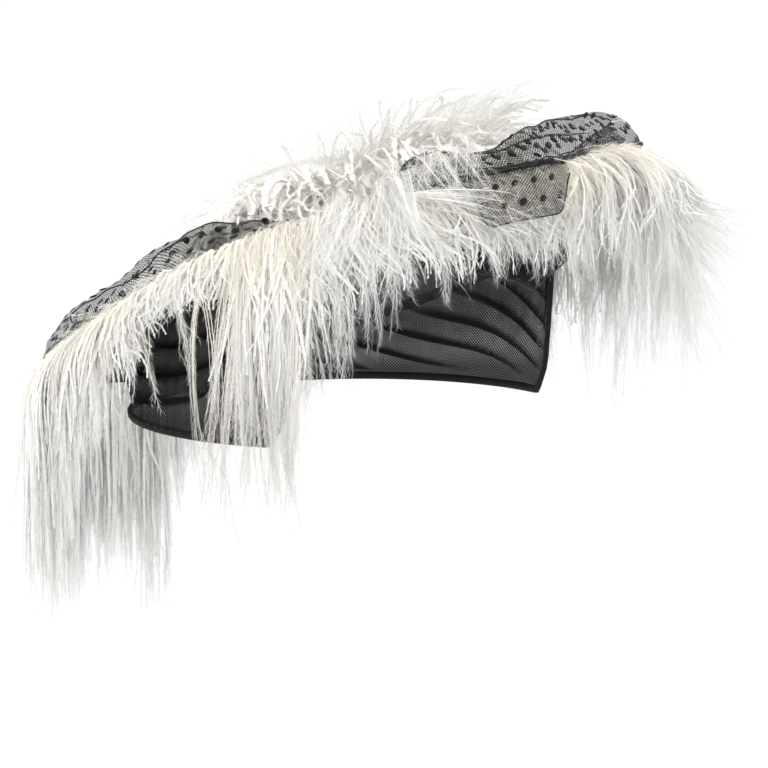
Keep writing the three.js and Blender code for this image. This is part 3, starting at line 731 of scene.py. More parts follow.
def down_material(name, white, shade, cream, thin):
    """Ostrich down: a soft band, streaked along and broken into fine hairs at its edges."""
    material = ostrich_material(name, white, shade, cream, thin)
    tree = material.node_tree
    shader = tree.nodes["Principled BSDF"].inputs
    across, run, lot, taper = (attribute(tree, label) for label in ("across", "run", "lot", "taper"))

    def fine_noise(x, y):
        place = add_node(tree, "ShaderNodeCombineXYZ", {"X": x, "Y": y, "Z": lot}).outputs[0]
        return noise(tree, place, 1.0, 2.0)

    from_middle = reckon(tree, "ABSOLUTE", reckon(tree, "SUBTRACT", across, 0.5))
    swept = reckon(
        tree, "SUBTRACT",
        reckon(tree, "DIVIDE", run, HAIR_PITCH * MM), reckon(tree, "MULTIPLY", from_middle, 9.0),
    )
    hairs = fine_noise(swept, reckon(tree, "MULTIPLY", from_middle, 2.5))
    streaks = fine_noise(
        reckon(tree, "MULTIPLY", across, 15.0), reckon(tree, "DIVIDE", run, STREAK_LENGTH * MM)
    )
    thinning = ramp(tree, taper, 0.3, 0.9, 0.22, 0.0)
    edge = ramp(tree, from_middle, 0.05, 0.5, 0.2, 0.7)
    kept = reckon(tree, "SUBTRACT", hairs, reckon(tree, "ADD", edge, thinning))
    cover = reckon(tree, "MULTIPLY", ramp(tree, kept, -0.05, 0.04), ramp(tree, streaks, 0.32, 0.44))
    tree.links.new(cover, shader["Alpha"])
    plain = shader["Base Color"].links[0].from_socket
    streaked = blend_colours(tree, ramp(tree, streaks, 0.42, 0.6, 0.3, 0.0), plain, shade)
    tree.links.new(streaked, shader["Base Color"])
    return material


# Cap wall

def cap_place(angle, push=0.0):
    """Where the wall stands at an angle, pushed out by its tucks."""
    turn = np.radians(angle)
    x = (CAP_HALF_WIDTH + push) * np.sin(turn)
    y = SAUCER_CENTRE[1] - (CAP_HALF_LENGTH + push) * np.cos(turn)
    return x, y


def cap_low(angle):
    """The wall's lower edge, in the middle of its binding."""
    return read(CAP_EDGE, "height", np.abs(angle)) + HEM_LIFT


def cap_net(material):
    """The ruched wall: one net gathered into soft leaning tucks that climb to the face."""
    angle = np.linspace(-180, 180, CAP_COLUMNS, endpoint=False)[:, None]
    t = np.linspace(0, 1, CAP_ROWS)[None, :]
    low = cap_low(angle)
    y = cap_place(angle)[1]
    high = -math.tan(SAUCER_PITCH) * y - SEAM_DROP
    height = low + (high - low) * t
    along = np.radians(angle) * CAP_HALF_WIDTH
    climb = height * math.cos(TUCK_SLANT) - along * math.sin(TUCK_SLANT)
    wander = 7 * np.sin(np.radians(angle * 3)) + 2.5 * np.sin(np.radians(angle * 7 + 40))
    phase = 2 * np.pi * (climb + wander) / TUCK_PITCH
    free = np.sin(np.pi * t) ** 0.6 * smooth(high - low, 8, 40)
    full = 0.95 + 0.15 * np.sin(np.radians(angle * 2 + 30))
    wave = np.sin(phase) + 0.2 * np.sin(2.3 * phase + np.radians(angle * 4))
    height = np.clip(height + TUCK_LEAN * wave * free * full, low, high)
    x, y = cap_place(angle, TUCK_PUSH * wave * free * full)
    points = np.stack([x, y, height], -1)

    across = lengths_along(points, 1)
    ring = np.linalg.norm(np.diff(points[:, 0, :2], axis=0, append=points[:1, 0, :2]), axis=-1)
    u = np.concatenate([[0], np.cumsum(ring)])
    uv = np.stack(np.broadcast_arrays(u[:, None], np.concatenate([across, across[:1]])), -1)
    # The net lies in layers inside each tuck, and closer along the hem; the material also darkens both
    # places with painted shade.
    layered = smooth(-wave * free, 0.05, 0.75)
    fold = np.maximum(layered, 0.7 * (1 - smooth(t, 0.1, 0.34)))
    wall = grid_object("cap_wall_net", points, material, uv, wrap_rows=True, fold=fold)
    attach(wall, ROOT)
    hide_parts("cap_wall")


def cap_binding(material, thread_material):
    """The bound hem, thinner over the face, with a soft pucker at each stitch, and its stitches."""
    angle = np.linspace(-180, 180, BINDING_COLUMNS, endpoint=False)
    here = np.stack([*cap_place(angle), cap_low(angle)], -1)
    along = np.roll(here, -1, 0) - np.roll(here, 1, 0)
    along /= np.linalg.norm(along, axis=1, keepdims=True)
    out = np.stack([np.sin(np.radians(angle)), -np.cos(np.radians(angle)), 0 * angle], -1)
    side = np.cross(along, out)
    side /= np.linalg.norm(side, axis=1, keepdims=True)
    out = np.cross(side, along)
    turn = np.linspace(0, 2 * np.pi, 10, endpoint=False)
    half_height = BINDING_HALF_HEIGHT * (0.5 + 0.5 * smooth(np.abs(angle), 54, 66))
    stitched = np.sin(np.arange(BINDING_COLUMNS) * 2 * np.pi / 4)[:, None]
    pucker = 1 + 0.10 * stitched * np.maximum(np.sin(turn), 0)
    ring = (
        here[:, None]
        + out[:, None] * (BINDING_HALF_THICKNESS * pucker * np.cos(turn))[..., None]
        - side[:, None] * (half_height[:, None] * np.sin(turn))[..., None]
    )
    band = grid_object("cap_binding_band", ring, material, wrap_rows=True, wrap_columns=True)
    face = here + out * (BINDING_HALF_THICKNESS * 0.97) - side * (0.45 * half_height)[:, None]
    pairs = np.stack([face[0::4], 0.5 * (face[1::4] + face[2::4])], 1)
    stitches = grow(line_object("cap_stitches", pairs), THREAD, {
        "Radius": STITCH_RADIUS * MM, "Material": thread_material,
    })
    for piece in (band, stitches):
        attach(piece, ROOT)
    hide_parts("cap_binding")


# Ribbon

def ribbon_across(angle):
    """The ribbon across its width at each angle, from its rolled low edge up and over its fold."""
    angle = np.asarray(angle, float)[:, None]
    low = np.stack([eased(RIBBON, "low_radius", angle), eased(RIBBON, "low", angle)], -1)
    high = np.stack([eased(RIBBON, "high_radius", angle), eased(RIBBON, "high", angle)], -1)
    span = high - low
    width = np.linalg.norm(span, axis=-1, keepdims=True)
    unit = span / width
    out = np.stack([unit[..., 1], -unit[..., 0]], -1)
    free = smooth(width[..., 0], 8, 40)
    turn = np.radians(angle)
    ripple = np.sin(9 * turn + 1.0) + 0.6 * np.sin(23 * turn + 2.0) + 0.35 * np.sin(41 * turn)

    t = np.linspace(0, 1, RIBBON_STRIPS)[None, :]
    lean = np.sin(2 * np.pi * t + 5 * turn) * np.sin(np.pi * t)
    rise = t + 0.2 * lean * (0.6 + 0.4 * np.sin(3 * turn + 1))
    puff = eased(RIBBON, "puff", angle) * np.sin(np.pi * t)
    push = puff + 1.6 * ripple * t ** 1.5 * free + 2.2 * lean * free
    front = low + span * rise[..., None] + out * push[..., None]

    b = np.linspace(0, 1, RIBBON_STRIPS // 2 + 1)[None, 1:]
    bent = np.sin(7 * turn + 4 * b) + 0.7 * np.sin(17 * turn + 2.5)
    tuck = eased(RIBBON, "tuck", angle) + 0.08 * bent * free
    behind = -(2.2 + 5.5 * np.sin(0.5 * np.pi * b)) * free - 0.5 + (1.6 * ripple + 1.3 * bent * b) * free
    crest = 0.03 * np.sin(np.pi * np.minimum(3 * b, 1)) * free
    back = low + span * (1 + crest - tuck * b)[..., None] + out * behind[..., None]

    size = 1.2 + 1.6 * eased(RIBBON, "roll", angle)
    curl = np.linspace(-1.6 * np.pi, 0, ROLL_STEPS)[None, :-1]
    closing = size * (1 + curl / 16)
    rolled = (
        low - out * size[..., None]
        + out * (closing * np.cos(curl))[..., None]
        + unit * (closing * np.sin(curl))[..., None]
    )
    return np.concatenate([rolled, front, back], 1)


def cloth_uv(points, start):
    """Flat place on the cloth of each point: along its middle, and across."""
    middle = points.shape[1] // 2
    along = start + lengths_along(points[:, middle], 0)
    return np.stack(np.broadcast_arrays(along[:, None], lengths_along(points, 1)), -1)


def edge_threads(name, points, material):
    """The fine dark selvedges of a stretch of ribbon, and its sharp fold at the top."""
    columns = [0, FOLD_COLUMN, -1] if points.shape[1] > FOLD_COLUMN + 1 else [0, -1]
    sides = np.stack([points[:, column] for column in columns])
    return grow(line_object(name, sides), THREAD, {"Radius": SELVEDGE_RADIUS * MM, "Material": material})


def rolled_edge(name, angle, material):
    """The low edge rolled up on itself into a close soft cord."""
    size = 0.7 + 1.9 * eased(RIBBON, "roll", angle) ** 1.5
    low_radius, low = eased(RIBBON, "low_radius", angle), eased(RIBBON, "low", angle)
    turn = np.linspace(0, 2 * np.pi, 10, endpoint=False)
    along = angle[:, None]
    crumple = 1 + 0.16 * np.sin(along * 1.9 + 2 * turn) + 0.1 * np.sin(along * 4.3 + 3 * turn)
    radius = low_radius[:, None] + (size[:, None] * crumple) * np.cos(turn)
    height = low[:, None] + 0.8 * (size[:, None] * crumple) * np.sin(turn)
    return grid_object(name, on_saucer(along + 0 * radius, radius, height), material, wrap_columns=True)


def flocked_dots(name, points, uv, material):
    """Rows of dots printed on the cloth, staggered from row to row."""
    last_share = 0.94 if name.startswith("ribbon_front") else 0.82
    spacing = DOT_SPACING * (0.7 if name.startswith(GATHERED) else 1.0)
    spots, faces, alongs = [], [], []
    u, v = uv[:, points.shape[1] // 2, 0], uv[..., 1]
    first_row = math.ceil((v.min() + 5.0) / DOT_ROW)
    for row in range(first_row, int(v.max() / DOT_ROW) + 1):
        shift = 0.5 * spacing * (row % 2)
        first = math.ceil((u[0] - shift) / spacing)
        for step in range(first, int((u[-1] - shift) / spacing) + 1):
            at = step * spacing + shift + 1.6 * math.sin(7.0 * step + 3.0 * row)
            across = row * DOT_ROW + 1.2 * math.sin(5.0 * step + row)
            i = int(np.clip(np.searchsorted(u, at) - 1, 1, len(u) - 3))
            j = int(np.searchsorted(v[i], across) - 1)
            if j < 2 or j > last_share * points.shape[1]:
                continue
            along = points[i + 1, j] - points[i - 1, j]
            over = points[i, j + 1] - points[i, j - 1]
            face = np.cross(over, along)
            spots.append(points[i, j])
            faces.append(face / np.linalg.norm(face))
            alongs.append(along / np.linalg.norm(along) + 0.5 * over / np.linalg.norm(over))
    if not spots:
        return None
    mesh = bpy.data.meshes.new(name)
    mesh.from_pydata((np.array(spots) * MM).tolist(), [], [])
    for label, values in (("face", faces), ("along", alongs)):
        layer = mesh.attributes.new(label, "FLOAT_VECTOR", "POINT")
        layer.data.foreach_set("vector", np.array(values, np.float32).reshape(-1))
    return grow(finish_object(name, mesh), DOTS, {
        "Length": DOT_LENGTH * MM, "Breadth": DOT_BREADTH * MM, "Thickness": DOT_THICKNESS * MM,
        "Material": material,
    })


def ribbon_piece(node, points, start, finishes, extra=()):
    """One stretch of ribbon with its dots and selvedges. It gives where the cloth goes on."""
    uv = cloth_uv(points, start)
    net_cloth = finishes["gathered_net" if node in GATHERED else "ribbon_net"]
    cloth = grid_object(node + "_net", points, net_cloth, uv)
    trims = [
        edge_threads(node + "_selvedges", points, finishes["thread"]),
        flocked_dots(node + "_dots", points, uv, finishes["flock"]),
        *extra,
    ]
    trims = [trim for trim in trims if trim is not None]
    for piece in [cloth, *trims]:
        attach(piece, ROOT)
    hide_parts(node)
    return float(uv[-1, 0, 0])


def ribbon(finishes):
    """The ribbon round the saucer, stretch by stretch along one cloth, and its tab."""
    start = 0.0
    for node, first, last in RIBBON_STRETCHES:
        steps = max(14, int((last - first) / (1.1 if node == "ribbon_far_swag" else 0.8)))
        angle = np.linspace(first + 0.05, last - 0.05, steps)
        section = ribbon_across(angle)
        points = on_saucer(angle[:, None] + 0 * section[..., 0], section[..., 0], section[..., 1])
        cord = rolled_edge(node + "_rolled_edge", angle, finishes["roll"])
        start = ribbon_piece(node, points, start, finishes, [cord])
    tab_ribbon(finishes, start)


def tab_ribbon(finishes, start):
    """The flat loop over the front of the rim, its outer end rounded by the fold."""
    first, last = RIBBON_TAB_ANGLES
    angle = np.linspace(first, last, 30)[:, None]
    path = np.linspace(0, 1, len(RIBBON_TAB["out"]))
    t = np.linspace(0, 1, 18)[None, :]
    end = smooth((angle - first) / (last - first), 0.8, 1.0)
    near = smooth((angle - first) / (last - first), 0.0, 0.22)
    t_in = (1 - t) * (1 - 0.42 * end ** 3) * (0.45 + 0.55 * near)
    out = np.interp(t_in, path, RIBBON_TAB["out"]) + 0.8 * np.sin(0.5 * angle) * t_in
    up = np.interp(t_in, path, RIBBON_TAB["up"])
    points = at_rim(angle + 0 * t_in, SAUCER_RADIUS + 0 * t_in, out, up)
    ribbon_piece("ribbon_tab", points, start, finishes)


# Plumes

def even_steps(path):
    """The same path with evenly spaced points, as many as a barb has."""
    travelled = lengths_along(path, 0)
    wanted = np.linspace(0, travelled[-1], BARB_POINTS)
    return np.stack([np.interp(wanted, travelled, path[:, k]) for k in range(3)], -1)


def over_the_rim(angle, root_radius, crest, reach, drop, sway, rng, curve=0.8):
    """One bundle's path: along the saucer, over the rim, out and down, bending as it goes."""
    lift = np.linspace(0, 1, 4)
    arc = np.linspace(0, np.pi / 2, 9)
    hanging = np.linspace(0, 1, 9)[1:]
    top = crest + 3.0
    inside = root_radius + (SAUCER_RADIUS - 14 - root_radius) * lift
    radius = np.concatenate([inside, np.full(len(arc) + len(hanging), SAUCER_RADIUS)])
    fall = min(0.45 * drop, 12 + 0.6 * reach)
    swing = float(np.clip(rng.normal(0, 0.1), -0.2, 0.12)) * smooth(np.linspace(0, 1, len(hanging)))
    glide = 0.45 * smooth(reach, 34, 66)
    sailing = 1 - glide + glide * hanging
    out = np.concatenate([np.zeros(4), reach * (1 - glide) * np.sin(arc), reach * (sailing + swing)])
    up = np.concatenate([
        5.0 + (top - 5.0) * smooth(lift, 0.2, 1.2),
        top - (top + fall) * (1 - np.cos(arc)),
        np.linspace(-fall, -drop, 9)[1:],
    ])
    s = np.linspace(0, 1, len(radius))
    size = curve * rng.uniform(0.4, 1.4)
    bend = size * np.sin(2 * np.pi * (rng.uniform(0.5, 1.1) * s + rng.uniform(0, 1)))
    return even_steps(at_rim(angle + (sway + bend) * smooth(s, 0.25, 1.0), radius, np.maximum(out, 0), up))


def kept_inside(points):
    """Stray tips bend back before they leave the outer form's own room."""
    room, soft = np.array(PLUME_ROOM), PLUME_SOFTNESS
    under, over = np.maximum(room[0] + soft - points, 0), np.maximum(points - room[1] + soft, 0)
    held = np.clip(points, room[0] + soft, room[1] - soft)
    return held - soft * (1 - np.exp(-under / soft)) + soft * (1 - np.exp(-over / soft))


def barbs_from_locks(rng, locks, counts, spread, lock, length_range, wave, wild, hooks=(3, 8), hooked=0.25):
    """Barbs that start spread out around each lock's path and draw together towards its tip."""
    owner = np.repeat(np.arange(len(locks)), counts)
    count = len(owner)
    paths = np.array(locks)[owner]
    t = np.linspace(0, 1, BARB_POINTS)
    share = rng.uniform(*length_range, count)
    place = np.clip(t[None] * share[:, None] * (BARB_POINTS - 1), 0, BARB_POINTS - 1.001)
    low = place.astype(int)
    part = (place - low)[..., None]
    rows = np.arange(count)[:, None]
    points = paths[rows, low] * (1 - part) + paths[rows, low + 1] * part
    along = np.gradient(points, axis=1)
    along /= np.linalg.norm(along, axis=-1, keepdims=True) + 1e-9
    side = np.cross(along, UP + 0.02 * ACROSS + 0.3 * (points - SAUCER_CENTRE) / 200)
    side /= np.linalg.norm(side, axis=-1, keepdims=True) + 1e-9
    face = np.cross(side, along)

    loose = 1 - lock * smooth(t, 0.15, 0.8)[None, :, None]
    offset_side = rng.normal(0, spread, (count, 1, 1)) * loose
    offset_face = rng.normal(0, 0.5 * spread, (count, 1, 1)) * loose
    points = points + side * offset_side + face * (offset_face + 0.3 * spread)

    # One long bend and a few small ones
    bends = (rng.uniform(0.4, 1.3, (count, 1)), wave), (rng.uniform(1.8, 3.6, (count, 1)), 0.22 * wave)
    for turns, size in bends:
        start = rng.uniform(0, 2 * np.pi, (count, 2, 1))
        grown = size * smooth(t, 0.1, 1.0)
        bend = 2 * np.pi * turns * t[None]
        points = points + side * (grown * np.sin(bend + start[:, 0]))[..., None]
        points = points + face * (0.6 * grown * np.sin(bend + start[:, 1]))[..., None]

    # Some barbs flick away, and some end in a hook
    stray = rng.random(count) < wild
    flick = smooth(t, 0.35, 1.0)[None, :, None] * stray[:, None, None]
    points = points + flick * rng.normal(0, 1, (count, 1, 3)) * np.array([9.0, 9.0, 6.0])
    hook = (rng.random(count) < hooked)[:, None] * smooth(t, 0.65, 1.0)[None]
    turn = hook * rng.uniform(1.0, 3.4, (count, 1))
    curl = rng.uniform(*hooks, (count, 1)) * rng.choice([-1, 1], (count, 1))
    points = points + side * (curl * np.sin(turn) * hook)[..., None]
    return kept_inside(points + np.multiply.outer(np.abs(curl) * (1 - np.cos(turn)), UP))


def feather_lines(name, points, cream, rng, mixed, turning, tip):
    """Loose lines that carry what the flue and down trees and their materials read."""
    count = len(points)
    t = np.linspace(0, 1, points.shape[1])
    broad = rng.uniform(0.7, 1.2, (count, 1)) * np.where(rng.random((count, 1)) < mixed, 1.6, 1.0)
    travelled = lengths_along(points, 1)
    rooted = smooth(-travelled, -CREAM_END, -CREAM_FULL) * rng.uniform(0.3, 1.3, (count, 1)) * cream
    full = 0.45 + 0.75 * smooth(t, 0.0, 0.3) - 0.5 * smooth(t, 0.75, 1.0)
    lying = rng.normal(0, 0.45, (count, 1))
    twist = turning * (lying + np.multiply.outer(rng.normal(0, 1.2, count), t))
    return line_object(name, points, {
        "taper": (1 - tip * t ** 1.8)[None] * broad,
        "twist": twist,
        "cream": np.clip(rooted + rng.uniform(0, 0.22, (count, 1)), 0, 1),
        # How far each point has gone into the painted shade of the thin tips
        "thin": smooth(t, 0.5, 1.0)[None] * rng.uniform(0.7, 1.0, (count, 1)),
        "fluff": full[None] * rng.uniform(0.75, 1.2, (count, 1)),
        "lot": rng.uniform(0, 80, (count, 1)),
    })


def wear(piece):
    """A finished feather piece rides with the hat."""
    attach(piece, ROOT)
    return piece


def grow_flue(name, points, cream, rng, material, width=BARB_WIDTH, spacing=BARBULE_SPACING,
              thickness=BARBULE_WIDTH, length=BARBULE_LENGTH, opening=BARBULE_ANGLE):
    """Barbs with their barbules."""
    source = feather_lines(name, points, cream, rng, 0.2, 1.0, 0.8)
    return wear(grow(source, FLUE, {
        "Barb Width": width * MM, "Barbule Spacing": spacing * 1 * MM,
        "Barbule Length": length * MM, "Barbule Width": thickness * 1 * MM,
        "Barbule Angle": opening, "Seed": BARBULE_SEED, "Material": material,
    }))


def grow_down(name, points, cream, rng, material, width):
    """Soft strips of down under the barbs."""
    source = feather_lines(name, points, cream, rng, 0.0, 0.3, 0.5)
    return wear(grow(source, DOWN, {"Barb Width": width * MM, "Material": material}))


def rim_row(angle):
    """What the fringe is like at an angle, by column name."""
    return {name: float(read(RIM_FRINGE, name, angle)) for name in RIM_FRINGE}


def clump(angle, lock):
    """How far a strand swings towards the middle of its pointed lock, and how much shorter it is for it."""
    place = angle / LOCK_PITCH + 0.3 * math.sin(1.7 * angle)
    pull = (round(place) - place) * LOCK_PITCH
    return 0.85 * lock ** 2 * pull, 1 - 0.045 * lock * abs(pull)


def between(value, limits):
    return limits[0] < value < limits[1]


def rim_plume(number, material, down):
    """One plume over the rim: bundles of long flue, short flue at the edge, and down beneath."""
    rng = np.random.default_rng(400 + number)
    span = 360 / PLUME_COUNT
    first = -180 + number * span
    middle = first + span / 2
    here = rim_row(middle)

    def rows_at(count):
        """Angles spread over the plume, with the fringe's row and the swing of the lock at each."""
        for angle in [first + span * (k + rng.uniform(0, 1)) / count for k in range(count)]:
            row = rim_row(angle)
            yield angle, row, *clump(angle, row["lock"])

    def tail(count, root_radius, crest, drop_range, sideways):
        """The heavy locks that the first plume adds at the very back."""
        return [
            over_the_rim(
                TAIL_ANGLE, root_radius, crest, reach,
                rng.uniform(*drop_range), rng.normal(0, sideways), rng, 2.0,
            )
            for reach in (count * TAIL_REACH if number == 0 else ())
        ]

    long_locks, long_counts = [], []
    for angle, row, swing, cut in rows_at(MOST_BUNDLES):
        if rng.random() > row["bundles"] / MOST_BUNDLES:
            continue
        depth = rng.uniform(0, 1) ** 0.8
        trim = row["trim"] * (0.15 if rng.random() < LONG_STRANDS else 1.0)
        hang = row["hang"] * (1 - trim * depth) * (1.02 - row["ragged"] * rng.uniform(0, 1) ** 1.3)
        long_locks.append(over_the_rim(
            angle, rng.uniform(150, 182), row["crest"] * (0.15 + 0.85 * depth),
            max(LEAST_REACH, row["reach"] * (0.2 + 0.8 * depth)), hang * cut,
            row["lean"] + swing + rng.normal(0, 0.7 * row["stray"]), rng,
        ))
        long_counts.append(rng.integers(4, 13))
    long_tail = tail(1, 176, 6, (176, 187), 0.8)
    long_locks += long_tail
    long_counts += len(long_tail) * [24]

    short_locks, short_counts = [], []
    for angle, row, _, _ in rows_at(SHORT_LOCKS):
        short_locks.append(over_the_rim(
            angle, rng.uniform(150, 184), row["crest"] * rng.uniform(0.3, 1.0),
            max(5.0, row["reach"] * rng.uniform(0.3, 0.95)), row["short"] * rng.uniform(0.5, 1.0),
            row["lean"] + rng.normal(0, 1.6 * row["stray"]), rng,
        ))
        short_counts.append(round(row["fill"]))

    down_locks = tail(4, 172, 5, (180, 192), 1)
    for angle, row, swing, cut in rows_at(DOWN_LOCKS * (1 if middle > NO_COARSE_FLUE[1] else 2)):
        full = max(0.0, 2.2 * row["bundles"] / MOST_BUNDLES - 0.6)
        fall = row["short"] + (row["hang"] * (1 - row["trim"]) - row["short"]) * full
        down_locks.append(over_the_rim(
            angle, rng.uniform(150, 180), row["crest"] * rng.uniform(0.25, 0.9),
            max(LEAST_REACH, row["reach"] * rng.uniform(0.2, 1.0)), fall * cut * rng.uniform(0.6, 1.0),
            row["lean"] + swing + rng.normal(0, 0.7 * row["stray"]), rng,
        ))

    name = f"rim_plume_{number + 1:02d}"
    wild = 0.0 if number == TAB_PLUME else 0.15
    points = np.concatenate([
        barbs_from_locks(rng, long_locks, long_counts, 2.6, here["lock"], (0.8, 1.0), here["wave"], 0.10),
        barbs_from_locks(
            rng, short_locks, short_counts, 4.0, 0.25, (0.55, 1.0), min(3.6, 1.4 * here["wave"]), wild
        ),
    ])
    kind = FINE if between(middle, FINE_FLUE) else {} if between(middle, NO_COARSE_FLUE) else COARSE
    piece = grow_flue(name + "_flue", points, here["cream"], rng, material, **kind)
    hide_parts(name)
    under = barbs_from_locks(rng, down_locks, 1, 2.0, 0.2, (0.85, 1.0), here["wave"], 0.0)
    width = DOWN_WIDTH * (1.0 if between(middle, NARROW_DOWN) else 1.4)
    grow_down(name + "_down", under, here["cream"], rng, down, width)


def near_fingers(material):
    """Thin drawn-out locks that hang past the hem on the near side, some with a hooked end."""
    rng = np.random.default_rng(61)
    locks, counts = [], []
    for angle, drop, swing, reach in NEAR_FINGERS:
        for part in range(2):
            start = angle + rng.normal(0, 0.4)
            locks.append(over_the_rim(start, 178, 14, reach, drop * (1 - 0.1 * part), swing, rng, 3.0))
            counts.append(9 - 3 * part)
    points = barbs_from_locks(rng, locks, counts, 2.4, 0.9, (0.9, 1.0), 3.0, 0.0, (6, 14))
    grow_flue("near_fingers", points, 1.0, rng, material, thickness=0.2, length=4.5, opening=0.35)


def front_tuft(material):
    """The loose tuft over the caught ribbon, and the bare quills laid beside it."""
    rng = np.random.default_rng(77)
    locks = []
    for _ in range(TUFT_LOCKS):
        fan = rng.uniform(-1, 1)
        locks.append(over_the_rim(
            -44 + 6.5 * fan, rng.uniform(150, 180), rng.uniform(8, 24), rng.uniform(10, 36),
            (70 - 22 * abs(fan)) * rng.uniform(0.4, 1.0), 6 * fan + rng.normal(0, 4), rng, 2.0,
        ))
    for _ in range(LOOP_LOCKS):
        locks.append(over_the_rim(
            rng.uniform(-36, -24), rng.uniform(160, 172), rng.uniform(20, 34), rng.uniform(2, 9),
            rng.uniform(2, 16), rng.normal(3, 6), rng, 3.0,
        ))
    points = barbs_from_locks(rng, locks, 5, 4.5, 0.3, (0.55, 1.0), 4.0, 0.25)
    piece = grow_flue("front_tuft_flue", points, 0.25, rng, material, **FINE)
    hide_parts("front_tuft")
    stems = []
    s = np.linspace(0, 1, BARB_POINTS)
    for share in np.arange(FRONT_QUILLS) / (FRONT_QUILLS - 1):
        angle = -47 + 5 * share + (27 - 6 * share + rng.uniform(-3, 3)) * s
        radius = 190 + 10 * smooth(s, 0.0, 0.4)
        up = 15 - 3 * share + 4 * np.sin(np.pi * s) - (15 + 9 * share) * s + rng.uniform(-2, 2) * s
        stems.append(at_rim(angle, radius, (11 + 3 * share) * smooth(s, 0.1, 0.7), up))
    grow_flue("front_quills", np.array(stems), 0.1, rng, material, 0.8, **FINE)


def crown_surface(share, depth):
    """Radius and height on the crown's section, at a share of the way from its middle down."""
    travelled = lengths_along(CROWN_SECTION, 0)
    return np.array([
        np.interp(share * travelled[-1], travelled, CROWN_SECTION[:, k]) * depth for k in range(2)
    ])


def crown_path(rng, angle, reach_share, depth, drift):
    """From low in the crown up to its round surface, then out along that."""
    tip, shoulder = crown_surface(reach_share, depth), crown_surface(max(reach_share - 0.36, 0.0), depth)
    root = np.array([tip[0] * rng.uniform(0.15, 0.5), 6.0])
    lift = np.array([root[0], 0.75 * shoulder[1]])
    s = np.linspace(0, 1, CROWN_STEPS)
    rest = 1 - s
    weights = (rest ** 3, 3 * s * rest ** 2, 3 * s ** 2 * rest, s ** 3)
    section = sum(weight[:, None] * point for weight, point in zip(weights, (root, lift, shoulder, tip)))
    size = rng.uniform(2, 8)
    swirl = size * np.sin(2 * np.pi * (rng.uniform(0.5, 1.0) * s + rng.uniform(0, 1))) * s
    radius = section[:, 0] * read(CROWN_SPREAD, "spread", angle)
    height = section[:, 1] * read(CROWN_SPREAD, "rise", angle)
    return even_steps(on_saucer(angle + drift * smooth(s, 0.1, 1.0) + swirl, radius, height) + CROWN_MIDDLE)


def crown_flare(rng, angle, share=1.0):
    """From the middle of the crown outwards and up, past its round surface."""
    s = np.linspace(0, 1, CROWN_STEPS)
    root, tip = rng.uniform(20, 60), rng.uniform(112, 162)
    top = rng.uniform(62, 108) * (1 - 0.25 * abs(angle - 35) / 45)
    radius = root + (tip - root) * share * s
    height = 16 + (top - 16) * share * s ** 0.75 + rng.uniform(0, 12) * np.sin(np.pi * s)
    return even_steps(on_saucer(angle + rng.normal(0, 10) * s ** 2, radius, height) + CROWN_MIDDLE)


def crown_skirt(rng, angle):
    """From inside the crown out over its low edge and down to the ribbon."""
    s = np.linspace(0, 1, CROWN_STEPS)
    edge, top = rng.uniform(128, 158), rng.uniform(16, 44)
    radius = 70 + (edge - 70) * s
    height = top * (1 - smooth(s, 0.5, 1.1)) + 9 + 14 * np.sin(np.pi * s)
    moved = CROWN_MIDDLE * (1 - s)[:, None]
    return even_steps(on_saucer(angle + rng.normal(0, 10) * s ** 2, radius, height) + moved)


def crown_plume(number, material, down):
    """A quarter of the crown: barbs arch up to its round surface and curl over, with down beneath."""
    rng = np.random.default_rng(900 + number)
    start = -180 + CROWN_QUARTER * number

    def angles(count):
        for k in range(count):
            yield start + CROWN_QUARTER * (k + rng.uniform(0, 1)) / count

    def flares(share):
        first, last = np.clip((start, start + CROWN_QUARTER), *CROWN_FLARE)
        count = int((last - first) * CROWN_FLARE_DENSITY)
        return [crown_flare(rng, angle, share) for angle in rng.uniform(first, last, count)]

    locks = []
    for angle in angles(CROWN_LOCKS):
        share = rng.uniform(0.08, 1.0) ** 0.45
        locks.append(crown_path(rng, angle, share, rng.uniform(0.86, 1.06), rng.normal(0, 16)))
    locks += flares(1.0)
    name = f"crown_plume_{number + 1}"
    points = barbs_from_locks(rng, locks, 4, 5.0, 0.35, (0.7, 1.0), 6.5, 0.12, (6, 13), 0.6)
    piece = grow_flue(name + "_flue", points, 0.4, rng, material, **CROWN_KIND)
    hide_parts(name)
    inner = flares(0.8)
    for angle in angles(CROWN_DOWN):
        share = rng.uniform(0.1, 1.0) ** 0.4
        inner.append(crown_path(rng, angle, share, rng.uniform(0.88, 1.05), rng.normal(0, 24)))
    inner += [crown_skirt(rng, angle) for angle in angles(CROWN_SKIRT)]
    under = barbs_from_locks(rng, inner, 1, 5.0, 0.0, (0.8, 1.0), 7.0, 0.0, (7, 14), 0.6)
    grow_down(name + "_down", under, 0.7, rng, down, 1.7 * DOWN_WIDTH)


